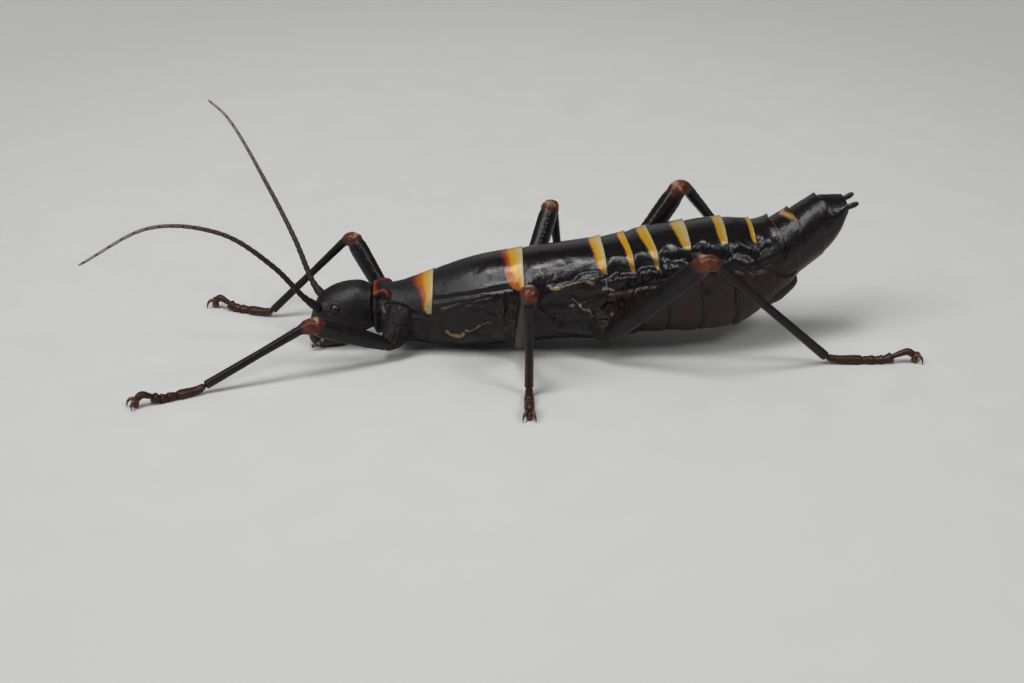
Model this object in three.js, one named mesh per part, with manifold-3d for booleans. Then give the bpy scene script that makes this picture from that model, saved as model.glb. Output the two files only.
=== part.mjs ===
// A life-size model of a stout, wingless stick insect, a black female with yellow
// bands, standing on its six feet. Millimetres, +Z up. The head looks along -X,
// the insect's left side faces -Y and the soles of the feet lie at Z = 0.
import * as THREE from "three";
import { mergeVertices } from "three/addons/utils/BufferGeometryUtils.js";
import Module from "manifold-3d";

const wasm = await Module();
wasm.setup();

// ---- Driving dimensions ----------------------------------------------------

const SEAM = 0.12; // gap between neighbouring pieces
const BODY_BEND = 0.0018; // the body curves in plan: y = BODY_BEND * (x - BEND_START)^2
const BEND_START = -5;
const BODY_SIDES = 20;
const LIMB_SIDES = 10;
const FEELER_SIDES = 8;

// Each ring stands where two segments of the body meet, or at a waist or swelling
// between them. back and belly are its top and bottom, as [x, z].
const BODY_RINGS = {
  collar: { back: [-13.7, 6.58], belly: [-13.5, 1.67], halfWidth: 2.3 },
  pronotumWaist: { back: [-11.3, 6.69], belly: [-11.0, 0.92], halfWidth: 2.7 },
  pronotumRear: { back: [-7.75, 7.93], belly: [-8.05, 0.47], halfWidth: 3.5 },
  mesonotumMiddle: { back: [-3.4, 9.39], belly: [-3.4, 0.3], halfWidth: 4.1 },
  mesonotumRear: { back: [1.0, 10.15], belly: [1.3, 0.73], halfWidth: 4.4 },
  metanotumMiddle: { back: [4.75, 10.64], belly: [5.05, 1.08], halfWidth: 4.6 },
  metanotumRear: { back: [8.7, 11.17], belly: [8.8, 1.04], halfWidth: 4.9 },
  tergite2Rear: { back: [11.0, 11.57], belly: [10.8, 1.27], halfWidth: 5.0 },
  tergite3Rear: { back: [13.2, 12.14], belly: [12.9, 1.6], halfWidth: 5.1 },
  tergite4Rear: { back: [16.85, 12.65], belly: [15.5, 1.65], halfWidth: 5.2 },
  tergite5Rear: { back: [20.55, 12.97], belly: [18.75, 1.65], halfWidth: 5.0 },
  tergite6Rear: { back: [23.35, 12.7], belly: [22.15, 2.2], halfWidth: 4.5 },
  tergite7Rear: { back: [25.2, 12.85], belly: [25.3, 4.5], halfWidth: 3.9 },
  tergite8Rear: { back: [27.25, 13.67], belly: [28.1, 7.05], halfWidth: 3.2 },
  tergite9Rear: { back: [29.85, 14.98], belly: [30.65, 9.08], halfWidth: 2.5 },
  tergite10Middle: { back: [31.2, 14.95], belly: [32.2, 11.13], halfWidth: 2.1 },
  tailFace: { back: [32.45, 14.9], belly: [32.9, 13.1], halfWidth: 1.6 },
};

// The segments of the trunk, from the ring in front of each to the ring behind it.
const SEGMENTS = [
  { name: "prothorax", from: "collar", to: "pronotumRear", steps: 7 },
  { name: "mesothorax", from: "pronotumRear", to: "mesonotumRear", steps: 6 },
  { name: "metathorax", from: "mesonotumRear", to: "metanotumRear", steps: 6 },
  { name: "abdomen_2", from: "metanotumRear", to: "tergite2Rear", steps: 2 },
  { name: "abdomen_3", from: "tergite2Rear", to: "tergite3Rear", steps: 2 },
  { name: "abdomen_4", from: "tergite3Rear", to: "tergite4Rear", steps: 3 },
  { name: "abdomen_5", from: "tergite4Rear", to: "tergite5Rear", steps: 3 },
  { name: "abdomen_6", from: "tergite5Rear", to: "tergite6Rear", steps: 3 },
  { name: "abdomen_7", from: "tergite6Rear", to: "tergite7Rear", steps: 3 },
  { name: "abdomen_8", from: "tergite7Rear", to: "tergite8Rear", steps: 3 },
  { name: "abdomen_9", from: "tergite8Rear", to: "tergite9Rear", steps: 3 },
  { name: "abdomen_10", from: "tergite9Rear", to: "tailFace", steps: 3 },
];

// The scent gland openings raise the two front shoulders of the pronotum.
const GLAND = { along: 0.26, reach: 0.2, angle: 0.9, spread: 0.38, height: 0.16 };

// The flank folds in below the edge of the back plates.
const FLANK_FOLD = { angle: 1.75, spread: 0.3, depth: 0.06 };

const HEAD_RINGS = {
  neck: { back: [-13.82, 6.5], belly: [-13.65, 1.9], halfWidth: 1.9 },
  nape: { back: [-15.0, 6.82], belly: [-15.2, 1.25], halfWidth: 2.25 },
  crown: { back: [-16.5, 6.68], belly: [-16.6, 0.22], halfWidth: 2.4 },
  brow: { back: [-17.85, 6.2], belly: [-18.35, 0.08], halfWidth: 2.25 },
  antennaSockets: { back: [-19.05, 5.3], belly: [-19.85, 0.2], halfWidth: 1.7 },
  face: { back: [-19.75, 4.1], belly: [-20.3, 1.4], halfWidth: 0.8 },
};
const HEAD_STEPS = 12;
const MOUTH_LINE = { x: -18.3, z: 1.7, tilt: 0.28 }; // the jaws lie under this sloping plane

const EYE = { at: [-17.4, 1.9, 4.5], radius: 0.6, sides: 10, rows: 7 };

// The scoop under the tail, hollow side up.
const OPERCULUM = {
  front: [24.9, 4.95],
  tip: [28.45, 6.4],
  halfWidth: 1.9,
  thickness: 1.1,
  sides: 12,
  steps: 6,
};

const CERCUS = { from: [32.5, 1.3, 13.95], reach: [1.45, 0.25, 0.5], radius: 0.26 };

// Each feeler is built in three lengths, which are shares of its middle line.
const FEELER_LENGTHS = [
  { part: "scape", from: 0, to: 0.075, steps: 4 },
  { part: "flagellum_lower", from: 0.075, to: 0.5, steps: 9 },
  { part: "flagellum_upper", from: 0.5, to: 1, steps: 11 },
];
// Middle lines of the feelers, from the head outwards.
const FEELERS = {
  left: [
    [-18.9, -1.0, 4.2],
    [-20.3, -2.2, 5.85],
    [-22.95, -4.0, 9.7],
    [-27.4, -7.2, 14.2],
    [-33.4, -11.0, 16.05],
    [-39.5, -14.0, 13.5],
  ],
  right: [
    [-18.6, 1.2, 4.5],
    [-19.8, 2.2, 5.7],
    [-21.75, 4.5, 9.55],
    [-24.4, 7.3, 13.9],
    [-28.8, 11.0, 20.35],
    [-30.85, 12.0, 22.0],
  ],
};
const FEELER_RADIUS = { base: 0.46, stalk: 0.27, tip: 0.25 };

const ANKLE_HEIGHT = 0.78;

// One row for each pair of legs. hip and turn are the two ends of the coxa, as
// [x, distance from the middle plane, z]; the femur starts at the turn.
const PAIRS = {
  front: { hip: [-10.9, 1.9, 3.1], turn: [-11.7, 4.25, 1.6], femur: 9.4, foot: 7.3 },
  middle: { hip: [0.4, 2.8, 3.4], turn: [0.85, 5.3, 2.2], femur: 11.4, foot: 6.0 },
  hind: { hip: [8.5, 3.1, 4.2], turn: [9.3, 5.35, 2.95], femur: 14.1, foot: 9.3 },
};
const COXA_RADIUS = { hip: 1.35, turn: 0.95 };
const FEMUR_RADIUS = {
  front: { base: 0.62, knee: 0.98, width: 0.8 },
  middle: { base: 0.85, knee: 1.05, width: 0.9 },
  hind: { base: 0.9, knee: 1.05, width: 0.85 },
};
const TIBIA_RADIUS = {
  front: { knee: 0.48, ankle: 0.4 },
  middle: { knee: 0.52, ankle: 0.42 },
  hind: { knee: 0.6, ankle: 0.46 },
};
const FOOT_RADIUS = 0.46;
const PAD_RADIUS = 0.42;
const CLAW_RADIUS = 0.25;

// How each leg is held: the femur's heading in plan and its rise above level, in
// degrees, the point over which the ankle stands, and the heading of the foot.
const LEGS = [
  { pair: "front", side: "left", femur: [-152, 24], ankle: [-28.95, -12.1], foot: -150 },
  { pair: "front", side: "right", femur: [143, 51], ankle: [-24.75, 7.6], foot: 156 },
  { pair: "middle", side: "left", femur: [-84.2, 47.3], ankle: [1.6, -12.6], foot: -90 },
  { pair: "middle", side: "right", femur: [61.5, 53], ankle: [5.4, 13.4], foot: 66 },
  { pair: "hind", side: "left", femur: [-26.5, 42.5], ankle: [30.65, -4.95], foot: 2 },
  { pair: "hind", side: "right", femur: [24, 51.5], ankle: [27.0, 16.0], foot: 75 },
];

// ---- Finishes --------------------------------------------------------------

const finish = (color, roughness) => () =>
  new THREE.MeshStandardMaterial({ color, roughness, metalness: 0 });
const FINISHES = {
  cuticle: finish(0x1e1d20, 0.32),
  belly: finish(0x3a2a28, 0.5),
  leg: finish(0x2a2524, 0.42),
  foot: finish(0x4a3222, 0.5),
  feeler: finish(0x2e2a2a, 0.55),
  eye: finish(0x0c0c0e, 0.12),
  claw: finish(0x3c2012, 0.3),
};

// ---- Small helpers ---------------------------------------------------------

const radians = THREE.MathUtils.degToRad;
const lerp = THREE.MathUtils.lerp;
const vector = (xyz) => new THREE.Vector3(...xyz);

/** A smooth hump: 1 at its middle, fading to 0 about two spreads away. */
const hump = (value, middle, spread) => Math.exp(-(((value - middle) / spread) ** 2));

/** Value of a smooth curve through evenly spaced numbers, at place 0 ... n - 1. */
function smooth(numbers, place) {
  const last = numbers.length - 1;
  const i = Math.min(Math.max(Math.floor(place), 0), last - 1);
  const t = place - i;
  const [b, c] = [numbers[i], numbers[i + 1]];
  const a = i > 0 ? numbers[i - 1] : 2 * b - c;
  const d = i + 1 < last ? numbers[i + 2] : 2 * c - b;
  const slopeIn = (c - a) / 2;
  const slopeOut = (d - b) / 2;
  const t2 = t * t;
  const t3 = t2 * t;
  return (
    b * (2 * t3 - 3 * t2 + 1) +
    slopeIn * (t3 - 2 * t2 + t) +
    c * (3 * t2 - 2 * t3) +
    slopeOut * (t3 - t2)
  );
}

/**
 * A closed tube. place(along, across, up) gives the point for a spot on a unit
 * cylinder: along runs 0 ... 1, and (across, up) is a point of the unit circle,
 * or its centre on the two end faces.
 */
function loft(sides, steps, place) {
  const geometry = new THREE.CylinderGeometry(1, 1, 1, sides, steps);
  const position = geometry.attributes.position;
  for (let i = 0; i < position.count; i += 1) {
    const point = place(position.getY(i) + 0.5, position.getX(i), position.getZ(i));
    position.setXYZ(i, point.x, point.y, point.z);
  }
  return toSolid(geometry);
}

function toSolid(geometry) {
  geometry.deleteAttribute("normal");
  geometry.deleteAttribute("uv");
  const welded = mergeVertices(geometry, 1e-4);
  const mesh = new wasm.Mesh({
    numProp: 3,
    vertProperties: new Float32Array(welded.attributes.position.array),
    triVerts: new Uint32Array(welded.index.array),
  });
  return new wasm.Manifold(mesh);
}

/** Cuts the tools away and keeps the largest body that is left. */
function carve(solid, ...tools) {
  const left = tools.reduce((rest, tool) => rest.subtract(tool), solid);
  const bodies = left.decompose();
  return bodies.reduce((best, body) => (body.volume() > best.volume() ? body : best));
}

const specimen = new THREE.Group();

function addPiece(name, solid, makeMaterial) {
  const mesh = solid.simplify(0.02).getMesh();
  const geometry = new THREE.BufferGeometry();
  geometry.setAttribute("position", new THREE.BufferAttribute(mesh.vertProperties, 3));
  geometry.setIndex(new THREE.BufferAttribute(mesh.triVerts, 1));
  geometry.computeVertexNormals();
  const piece = new THREE.Mesh(geometry, makeMaterial());
  piece.name = name;
  specimen.add(piece);
}

// ---- Trunk and head --------------------------------------------------------

const bendY = (x) => BODY_BEND * (x - BEND_START) ** 2;
const bendYaw = (x) => Math.atan(2 * BODY_BEND * (x - BEND_START));

/** Turns a table of rings into a function from a place along it to one ring. */
function ringCurve(rings) {
  const rows = Object.values(rings);
  const column = (pick) => rows.map(pick);
  const backX = column((ring) => ring.back[0]);
  const backZ = column((ring) => ring.back[1]);
  const bellyX = column((ring) => ring.belly[0]);
  const bellyZ = column((ring) => ring.belly[1]);
  const halfWidth = column((ring) => ring.halfWidth);
  return (place) => {
    const back = new THREE.Vector3(smooth(backX, place), 0, smooth(backZ, place));
    const belly = new THREE.Vector3(smooth(bellyX, place), 0, smooth(bellyZ, place));
    const middle = back.clone().add(belly).multiplyScalar(0.5);
    const up = back.sub(middle);
    middle.y = bendY(middle.x);
    const yaw = bendYaw(middle.x);
    const left = new THREE.Vector3(Math.sin(yaw), -Math.cos(yaw), 0);
    return { middle, up, left, halfWidth: smooth(halfWidth, place) };
  };
}

const bodyRing = ringCurve(BODY_RINGS);
const headRing = ringCurve(HEAD_RINGS);
const ringPlace = (name) => Object.keys(BODY_RINGS).indexOf(name);

/** How far the skin stands out at one place and angle from the middle of the back. */
function bodyRelief(place, angle) {
  const glands = GLAND.height * hump(place, GLAND.along, GLAND.reach);
  const fold = FLANK_FOLD.depth * hump(angle, FLANK_FOLD.angle, FLANK_FOLD.spread);
  return 1 + glands * hump(angle, GLAND.angle, GLAND.spread) - fold;
}

/** One length of the trunk, from place to place; grow makes a larger cutting tool. */
function trunkLength(from, to, steps, grow = 0) {
  return loft(BODY_SIDES, steps, (along, across, up) => {
    const place = lerp(from, to, along);
    const ring = bodyRing(place);
    const angle = Math.abs(Math.atan2(across, up));
    const relief = bodyRelief(place, angle);
    return ring.middle
      .addScaledVector(ring.left, across * relief * (ring.halfWidth + grow))
      .addScaledVector(ring.up, up * relief * (1 + grow / ring.up.length()));
  });
}

/** Half of the seam at a place on the trunk, as a share of the ring spacing. */
function halfSeam(place, direction) {
  const step = 0.01 * direction;
  const length = bodyRing(place).middle.distanceTo(bodyRing(place + step).middle);
  return (SEAM / 2) * (step / length);
}

function addTrunk() {
  for (const { name, from, to, steps } of SEGMENTS) {
    const start = ringPlace(from);
    const end = ringPlace(to);
    const solid = trunkLength(start + halfSeam(start, 1), end + halfSeam(end, -1), steps);
    addPiece(name, solid, FINISHES.cuticle);
  }
}

/** The scoop under the tail that holds the egg: deep in front, pointed behind. */
function addOperculum() {
  const { front, tip, halfWidth, thickness, sides, steps } = OPERCULUM;
  const scoop = loft(sides, steps, (along, across, up) => {
    const taper = Math.sqrt(1 - 0.97 * along ** 2);
    const x = lerp(front[0], tip[0], along);
    const z = lerp(front[1], tip[1], along ** 1.4);
    return new THREE.Vector3(
      x - 0.25 * up * thickness * taper,
      bendY(x) - across * halfWidth * taper,
      z + up * thickness * taper,
    );
  });
  const tail = trunkLength(ringPlace("tergite5Rear"), ringPlace("tailFace"), 16, SEAM);
  addPiece("operculum", carve(scoop, tail), FINISHES.belly);
}

function headSolid(grow = 0) {
  const last = Object.keys(HEAD_RINGS).length - 1;
  return loft(BODY_SIDES, HEAD_STEPS, (along, across, up) => {
    const place = last * Math.sin((along * Math.PI) / 2);
    const ring = headRing(place);
    const jawTaper = up < 0 ? 1 + 0.12 * up : 1;
    return ring.middle
      .addScaledVector(ring.left, -across * jawTaper * (ring.halfWidth + grow))
      .addScaledVector(ring.up, up * (1 + grow / ring.up.length()));
  });
}

function mouthCut(drop) {
  const block = new THREE.BoxGeometry(12, 12, 6);
  block.translate(0, 0, -3 - drop);
  block.rotateY(MOUTH_LINE.tilt);
  block.translate(MOUTH_LINE.x, 0, MOUTH_LINE.z);
  return toSolid(block);
}

function eyeSolid(side, grow = 0) {
  const ball = new THREE.SphereGeometry(EYE.radius + grow, EYE.sides, EYE.rows);
  ball.translate(EYE.at[0], bendY(EYE.at[0]) + side * EYE.at[1], EYE.at[2]);
  return toSolid(ball);
}

function addHead() {
  const whole = headSolid();
  const jaws = mouthCut(SEAM / 2);
  const head = carve(whole, mouthCut(-SEAM / 2), eyeSolid(-1, SEAM), eyeSolid(1, SEAM));
  addPiece("head", head, FINISHES.cuticle);
  addPiece("mouthparts", whole.intersect(jaws), FINISHES.belly);
  addPiece("eye_left", eyeSolid(-1), FINISHES.eye);
  addPiece("eye_right", eyeSolid(1), FINISHES.eye);
}

// ---- Feelers, tail prongs and legs -----------------------------------------

/**
 * A closed tube along a curve. radii(along) gives its half width and half depth,
 * both made larger by grow, which also lengthens it at both ends.
 */
function limb(curve, sides, steps, radii, grow = 0) {
  return loft(sides, steps, (along, across, up) => {
    const point = curve.getPoint(along);
    const forward = curve.getTangent(along);
    const side = new THREE.Vector3(0, 0, 1).cross(forward).normalize();
    const depth = forward.clone().cross(side);
    const { halfWidth, halfDepth } = radii(along);
    const end = along < 1e-6 ? -grow : along > 1 - 1e-6 ? grow : 0;
    return point
      .addScaledVector(forward, end)
      .addScaledVector(side, -across * (halfWidth + grow))
      .addScaledVector(depth, up * (halfDepth + grow));
  });
}

const round = (radius) => ({ halfWidth: radius, halfDepth: radius });

function feelerRadius(along) {
  const { base, stalk, tip } = FEELER_RADIUS;
  return Math.max(lerp(base, stalk, Math.min(along / 0.12, 1)), tip);
}

function addFeelers() {
  const head = headSolid(SEAM);
  for (const side of ["left", "right"]) {
    const route = new THREE.CatmullRomCurve3(FEELERS[side].map(vector), false, "centripetal");
    const halfGap = SEAM / 2 / route.getLength();
    for (const { part, from, to, steps } of FEELER_LENGTHS) {
      const start = from + halfGap;
      const end = to - halfGap;
      const piece = new THREE.Curve();
      piece.getPoint = (along) => route.getPointAt(lerp(start, end, along));
      const solid = limb(piece, FEELER_SIDES, steps, (along) =>
        round(feelerRadius(lerp(start, end, along))),
      );
      addPiece(`antenna_${side}_${part}`, carve(solid, head), FINISHES.feeler);
    }
  }
}

function addCerci() {
  const tail = trunkLength(ringPlace("tergite8Rear"), ringPlace("tailFace"), 12, SEAM);
  for (const [side, sign] of [["left", -1], ["right", 1]]) {
    const [x, offset, z] = CERCUS.from;
    const from = new THREE.Vector3(x, bendY(x) + sign * offset, z);
    const [back, out, rise] = CERCUS.reach;
    const tip = from.clone().add(new THREE.Vector3(back, sign * out, rise));
    const route = new THREE.LineCurve3(from, tip);
    const solid = limb(route, FEELER_SIDES, 6, (along) =>
      round(CERCUS.radius * Math.sqrt(1 - 0.6 * along ** 4)),
    );
    addPiece(`cercus_${side}`, carve(solid, tail), FINISHES.cuticle);
  }
}

/** The joints of one leg, from the hip down to the ankle. */
function legJoints({ pair, side, femur, ankle }) {
  const sign = side === "left" ? -1 : 1;
  const beside = ([x, distance, z]) => new THREE.Vector3(x, bendY(x) + sign * distance, z);
  const turn = beside(PAIRS[pair].turn);
  const [heading, rise] = femur.map(radians);
  const reach = new THREE.Vector3(
    Math.cos(rise) * Math.cos(heading),
    Math.cos(rise) * Math.sin(heading),
    Math.sin(rise),
  );
  return {
    hip: beside(PAIRS[pair].hip),
    turn,
    knee: turn.clone().addScaledVector(reach, PAIRS[pair].femur),
    ankle: new THREE.Vector3(...ankle, ANKLE_HEIGHT),
  };
}

/** Rounds a tube off towards one of its ends, over a share of its length. */
const roundOff = (distance, share) =>
  distance < share ? Math.sqrt(1 - (1 - distance / share) ** 2 * 0.9) : 1;

function femurSolid(pair, turn, knee, grow = 0) {
  const { base, knee: thick, width } = FEMUR_RADIUS[pair];
  return limb(new THREE.LineCurve3(turn, knee), LIMB_SIDES, 10, (along) => {
    const ends = roundOff(1 - along, 0.09) * roundOff(along, 0.07);
    const halfDepth = lerp(base, thick, Math.min(along / 0.8, 1)) * ends;
    return { halfDepth, halfWidth: halfDepth * width };
  }, grow);
}

function tibiaSolid(pair, knee, ankle, grow = 0) {
  const { knee: thick, ankle: thin } = TIBIA_RADIUS[pair];
  return limb(new THREE.LineCurve3(knee, ankle), LIMB_SIDES, 6, (along) => {
    const flare = 1 + 0.18 * hump(along, 1, 0.12);
    return round(lerp(thick, thin, Math.min(along / 0.5, 1)) * flare);
  }, grow);
}

/** Side view of a foot: four flat joints, then an arched one that ends at the claws. */
function footRoute(pair, ankle, heading) {
  const length = PAIRS[pair].foot;
  const outward = new THREE.Vector3(Math.cos(heading), Math.sin(heading), 0);
  const at = (share, height) =>
    ankle.clone().addScaledVector(outward, share * length).setZ(height);
  const flat = FOOT_RADIUS - 0.04;
  return {
    outward,
    joints: [at(0, ANKLE_HEIGHT), at(0.1, 0.52), at(0.3, flat), at(0.62, flat), at(0.74, 0.85),
      at(0.86, 1.18), at(0.93, 0.86)],
  };
}

/** What would reach below the floor is cut off, which leaves a small flat sole. */
function cutAtFloor(solid) {
  const floor = new THREE.BoxGeometry(20, 20, 4);
  const centre = solid.boundingBox();
  floor.translate((centre.min[0] + centre.max[0]) / 2, (centre.min[1] + centre.max[1]) / 2, -2);
  return solid.subtract(toSolid(floor));
}

function footSolid(route, grow = 0) {
  const curve = new THREE.CatmullRomCurve3(route.joints, false, "centripetal");
  return loft(FEELER_SIDES, 12, (along, across, up) => {
    const point = curve.getPointAt(along);
    const forward = curve.getTangentAt(along);
    const side = new THREE.Vector3(0, 0, 1).cross(forward).normalize();
    const depth = forward.clone().cross(side);
    const flatPart = 1 - hump(along, 0.86, 0.16);
    const lobes = 1 + 0.14 * flatPart * Math.cos(along * 8 * Math.PI);
    const radius = FOOT_RADIUS * lobes * lerp(0.72, 1, flatPart) + grow;
    const end = along < 1e-6 ? -grow : along > 1 - 1e-6 ? grow : 0;
    return point
      .addScaledVector(forward, end)
      .addScaledVector(side, -across * radius)
      .addScaledVector(depth, up * radius);
  });
}

/** A pair of hooks that bend down to the floor on both sides of a soft pad. */
function clawSolid({ outward, joints }) {
  const root = joints[joints.length - 1];
  const sideways = new THREE.Vector3(0, 0, 1).cross(outward);
  const at = (out, wide, height) => root.clone()
    .addScaledVector(outward, out)
    .addScaledVector(sideways, wide)
    .setZ(height);
  const pad = new THREE.SphereGeometry(PAD_RADIUS, 8, 6);
  pad.translate(...at(0.1, 0, PAD_RADIUS));
  const hooks = [-1, 1].map((sign) => {
    const bend = [at(-0.05, sign * 0.1, 0.7), at(0.5, sign * 0.45, 0.9), at(0.72, sign * 0.62, 0.2)];
    return limb(new THREE.QuadraticBezierCurve3(...bend), 6, 3, () => round(CLAW_RADIUS));
  });
  return hooks.reduce((claws, hook) => claws.add(hook), toSolid(pad));
}

function addLeg(leg) {
  const { pair, side } = leg;
  const { hip, turn, knee, ankle } = legJoints(leg);
  const route = footRoute(pair, ankle, radians(leg.foot));
  const trunk = trunkLength(ringPlace("collar"), ringPlace("tergite3Rear"), 30, SEAM);
  const femurTool = femurSolid(pair, turn, knee, SEAM);
  const coxa = limb(new THREE.LineCurve3(hip, turn), LIMB_SIDES, 4, (along) =>
    round(lerp(COXA_RADIUS.hip, COXA_RADIUS.turn, along) * roundOff(1 - along, 0.3)),
  );
  const pieces = {
    coxa: [carve(coxa, trunk, femurTool), FINISHES.leg],
    femur: [femurSolid(pair, turn, knee), FINISHES.leg],
    tibia: [carve(tibiaSolid(pair, knee, ankle), femurTool), FINISHES.leg],
    tarsus: [carve(cutAtFloor(footSolid(route)), tibiaSolid(pair, knee, ankle, SEAM)), FINISHES.foot],
    claws: [carve(cutAtFloor(clawSolid(route)), footSolid(route, SEAM)), FINISHES.claw],
  };
  for (const [part, [solid, material]] of Object.entries(pieces)) {
    addPiece(`leg_${side}_${pair}_${part}`, solid, material);
  }
}

// ---- The whole insect, with the middle of its footprint at the origin --------

addTrunk();
addOperculum();
addHead();
addFeelers();
addCerci();
LEGS.forEach(addLeg);

const box = new THREE.Box3().setFromObject(specimen);
const centre = box.getCenter(new THREE.Vector3());
specimen.position.set(-centre.x, -centre.y, -box.min.z);

const insect = new THREE.Group();
insect.add(specimen);
insect.updateMatrixWorld(true);

export default insect;
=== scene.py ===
import math
from functools import partial

import bpy
import numpy as np
from bpy.props import FloatProperty, FloatVectorProperty, PointerProperty
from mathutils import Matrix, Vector, noise


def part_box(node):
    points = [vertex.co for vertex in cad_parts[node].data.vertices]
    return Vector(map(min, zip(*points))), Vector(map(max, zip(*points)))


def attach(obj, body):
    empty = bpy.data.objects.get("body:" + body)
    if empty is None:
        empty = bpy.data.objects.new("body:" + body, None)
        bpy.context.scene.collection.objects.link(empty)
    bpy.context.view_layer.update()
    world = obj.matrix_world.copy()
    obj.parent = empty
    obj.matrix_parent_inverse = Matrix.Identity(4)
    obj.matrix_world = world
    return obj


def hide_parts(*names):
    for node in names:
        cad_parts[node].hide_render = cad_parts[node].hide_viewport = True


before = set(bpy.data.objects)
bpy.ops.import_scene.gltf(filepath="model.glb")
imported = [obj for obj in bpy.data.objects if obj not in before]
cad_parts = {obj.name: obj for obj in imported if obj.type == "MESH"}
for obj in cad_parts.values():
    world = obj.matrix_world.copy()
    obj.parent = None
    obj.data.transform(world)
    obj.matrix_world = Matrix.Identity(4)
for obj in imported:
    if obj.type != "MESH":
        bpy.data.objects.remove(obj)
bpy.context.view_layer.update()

bl_info = {
    "name": "Stick insect model",
    "version": (1, 0, 0),
    "blender": (4, 5, 0),
    "location": "3D View > Sidebar > Insect",
    "description": "Builds a life-size black stick insect with yellow bands, piece by piece",
    "category": "Add Mesh",
}

# ---- The insect's own sizes, in millimetres ----
# x runs from the head (-) to the tail (+), y to the insect's right side, z up.

MM = 0.001
SIDES = {"left": -1, "right": 1}  # which way y runs on each side

# The body bends gently to its right: y of its middle plane grows with the square of x.
BODY_BEND = 0.0018
BEND_START = -5.0

# Rings round the trunk: back x, back z, belly x, belly z, half width.
BODY_RINGS = np.array([
    (-13.7, 6.58, -13.5, 1.67, 2.3),  # 0 collar
    (-11.3, 6.69, -11.0, 0.92, 2.7),  # 1 waist of the pronotum
    (-7.75, 7.93, -8.05, 0.47, 3.5),  # 2 rear of the pronotum
    (-3.4, 9.39, -3.4, 0.3, 4.1),  # 3 middle of the mesonotum
    (1.0, 10.15, 1.3, 0.73, 4.4),  # 4 rear of the mesonotum
    (4.75, 10.64, 5.05, 1.08, 4.6),  # 5 middle of the metanotum
    (8.7, 11.17, 8.8, 1.04, 4.9),  # 6 rear of the metanotum
    (11.0, 11.57, 10.8, 1.27, 5.0),  # 7 rear of back plate 2
    (13.2, 12.14, 12.9, 1.6, 5.1),  # 8
    (16.85, 12.65, 15.5, 1.65, 5.2),  # 9
    (20.55, 12.97, 18.75, 1.65, 5.0),  # 10
    (23.35, 12.7, 22.15, 2.2, 4.5),  # 11
    (25.2, 12.85, 25.3, 4.5, 3.9),  # 12
    (27.25, 13.67, 28.1, 7.05, 3.2),  # 13
    (29.85, 14.98, 30.65, 9.08, 2.5),  # 14
    (31.2, 14.95, 32.2, 11.13, 2.1),  # 15 middle of plate 10
    (32.45, 14.9, 32.9, 13.1, 1.6),  # 16 end of the tail
])
LAST_RING = len(BODY_RINGS) - 1

# How far each back plate's rear edge is swept towards the tail on the flank, in
# ring spacings.
BACK_SWEEP = (0, 0, 0.02, 0, 0, 0.04, 0.1, 0.34, 0.26, 0.12, 0.1, 0.12, 0.4, 0.18, 0.08, 0, 0)

# Back plates: rear ring, height of the step behind the plate, then its band: width
# at 0, 20, 40 and 60 degrees down the flank, the angle where it ends, and the share
# that is red (front edge) and cream (rear edge), on the back and at its lower end.
PLATES = [
    (2, 0.07, 2.10, 2.15, 1.55, 1.15, 84, 0.60, 0.32, 0.24, 0.80),
    (4, 0.09, 2.20, 1.95, 1.70, 1.40, 67, 0.44, 0.72, 0.30, 0.20),
    (6, 0.10, 1.35, 1.25, 1.00, 0.60, 58, 0.26, 0.24, 0.46, 0.46),
    (7, 0.10, 0.80, 0.70, 0.60, 0.50, 62, 0.26, 0.20, 0.12, 0.30),
    (8, 0.11, 1.05, 1.00, 0.75, 0.40, 64, 0.10, 0.08, 0.26, 0.60),
    (9, 0.12, 1.40, 1.20, 0.88, 0.60, 47, 0.06, 0.06, 0.60, 0.40),
    (10, 0.12, 0.95, 0.93, 0.83, 0.80, 45, 0.05, 0.05, 0.40, 0.40),
    (11, 0.14, 0.42, 0.45, 0.46, 0.50, 44, 0.12, 0.12, 0.26, 0.26),
    (12, 0.24, 0.00, -0.24, 0.10, 0.18, 54, 0.95, 0.95, 0.00, 0.00),
    (13, 0.17, 0.34, 0.34, 0.34, 0.34, 44, 0.50, 1.00, 0.60, 0.00),
    (14, 0.20, 0.00, 0.00, 0.00, 0.00, 1, 0.00, 0.00, 0.00, 0.00),
]
ASKEW_PLATE = 13

# Rings round the head, with the same columns.
HEAD_RINGS = np.array([
    (-13.82, 6.5, -13.65, 1.9, 1.9),  # neck
    (-15.0, 6.82, -15.2, 1.25, 2.25),  # nape
    (-16.5, 6.68, -16.6, 0.22, 2.4),  # crown
    (-17.85, 6.2, -18.35, 0.08, 2.25),  # brow
    (-19.05, 5.3, -19.85, 0.2, 1.7),  # feeler sockets
    (-19.75, 4.1, -20.3, 1.4, 0.8),  # face
])
EYE_AT = (-17.4, 1.9, 4.5)
SOCKETS = [(-18.75, -1.15, 4.25), (-18.55, 1.2, 4.5)]

FEELERS = {
    "left": [(-18.9, -1.0, 4.2), (-20.3, -2.2, 5.85), (-22.95, -4.0, 9.7), (-27.4, -7.2, 14.2),
             (-33.4, -11.0, 16.05), (-39.5, -14.0, 13.5)],
    "right": [(-18.6, 1.2, 4.5), (-19.8, 2.2, 5.7), (-21.75, 4.5, 9.55), (-24.4, 7.3, 13.9),
              (-28.8, 11.0, 20.35), (-30.85, 12.0, 22.0)],
}

ANKLE_HEIGHT = 0.78
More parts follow.
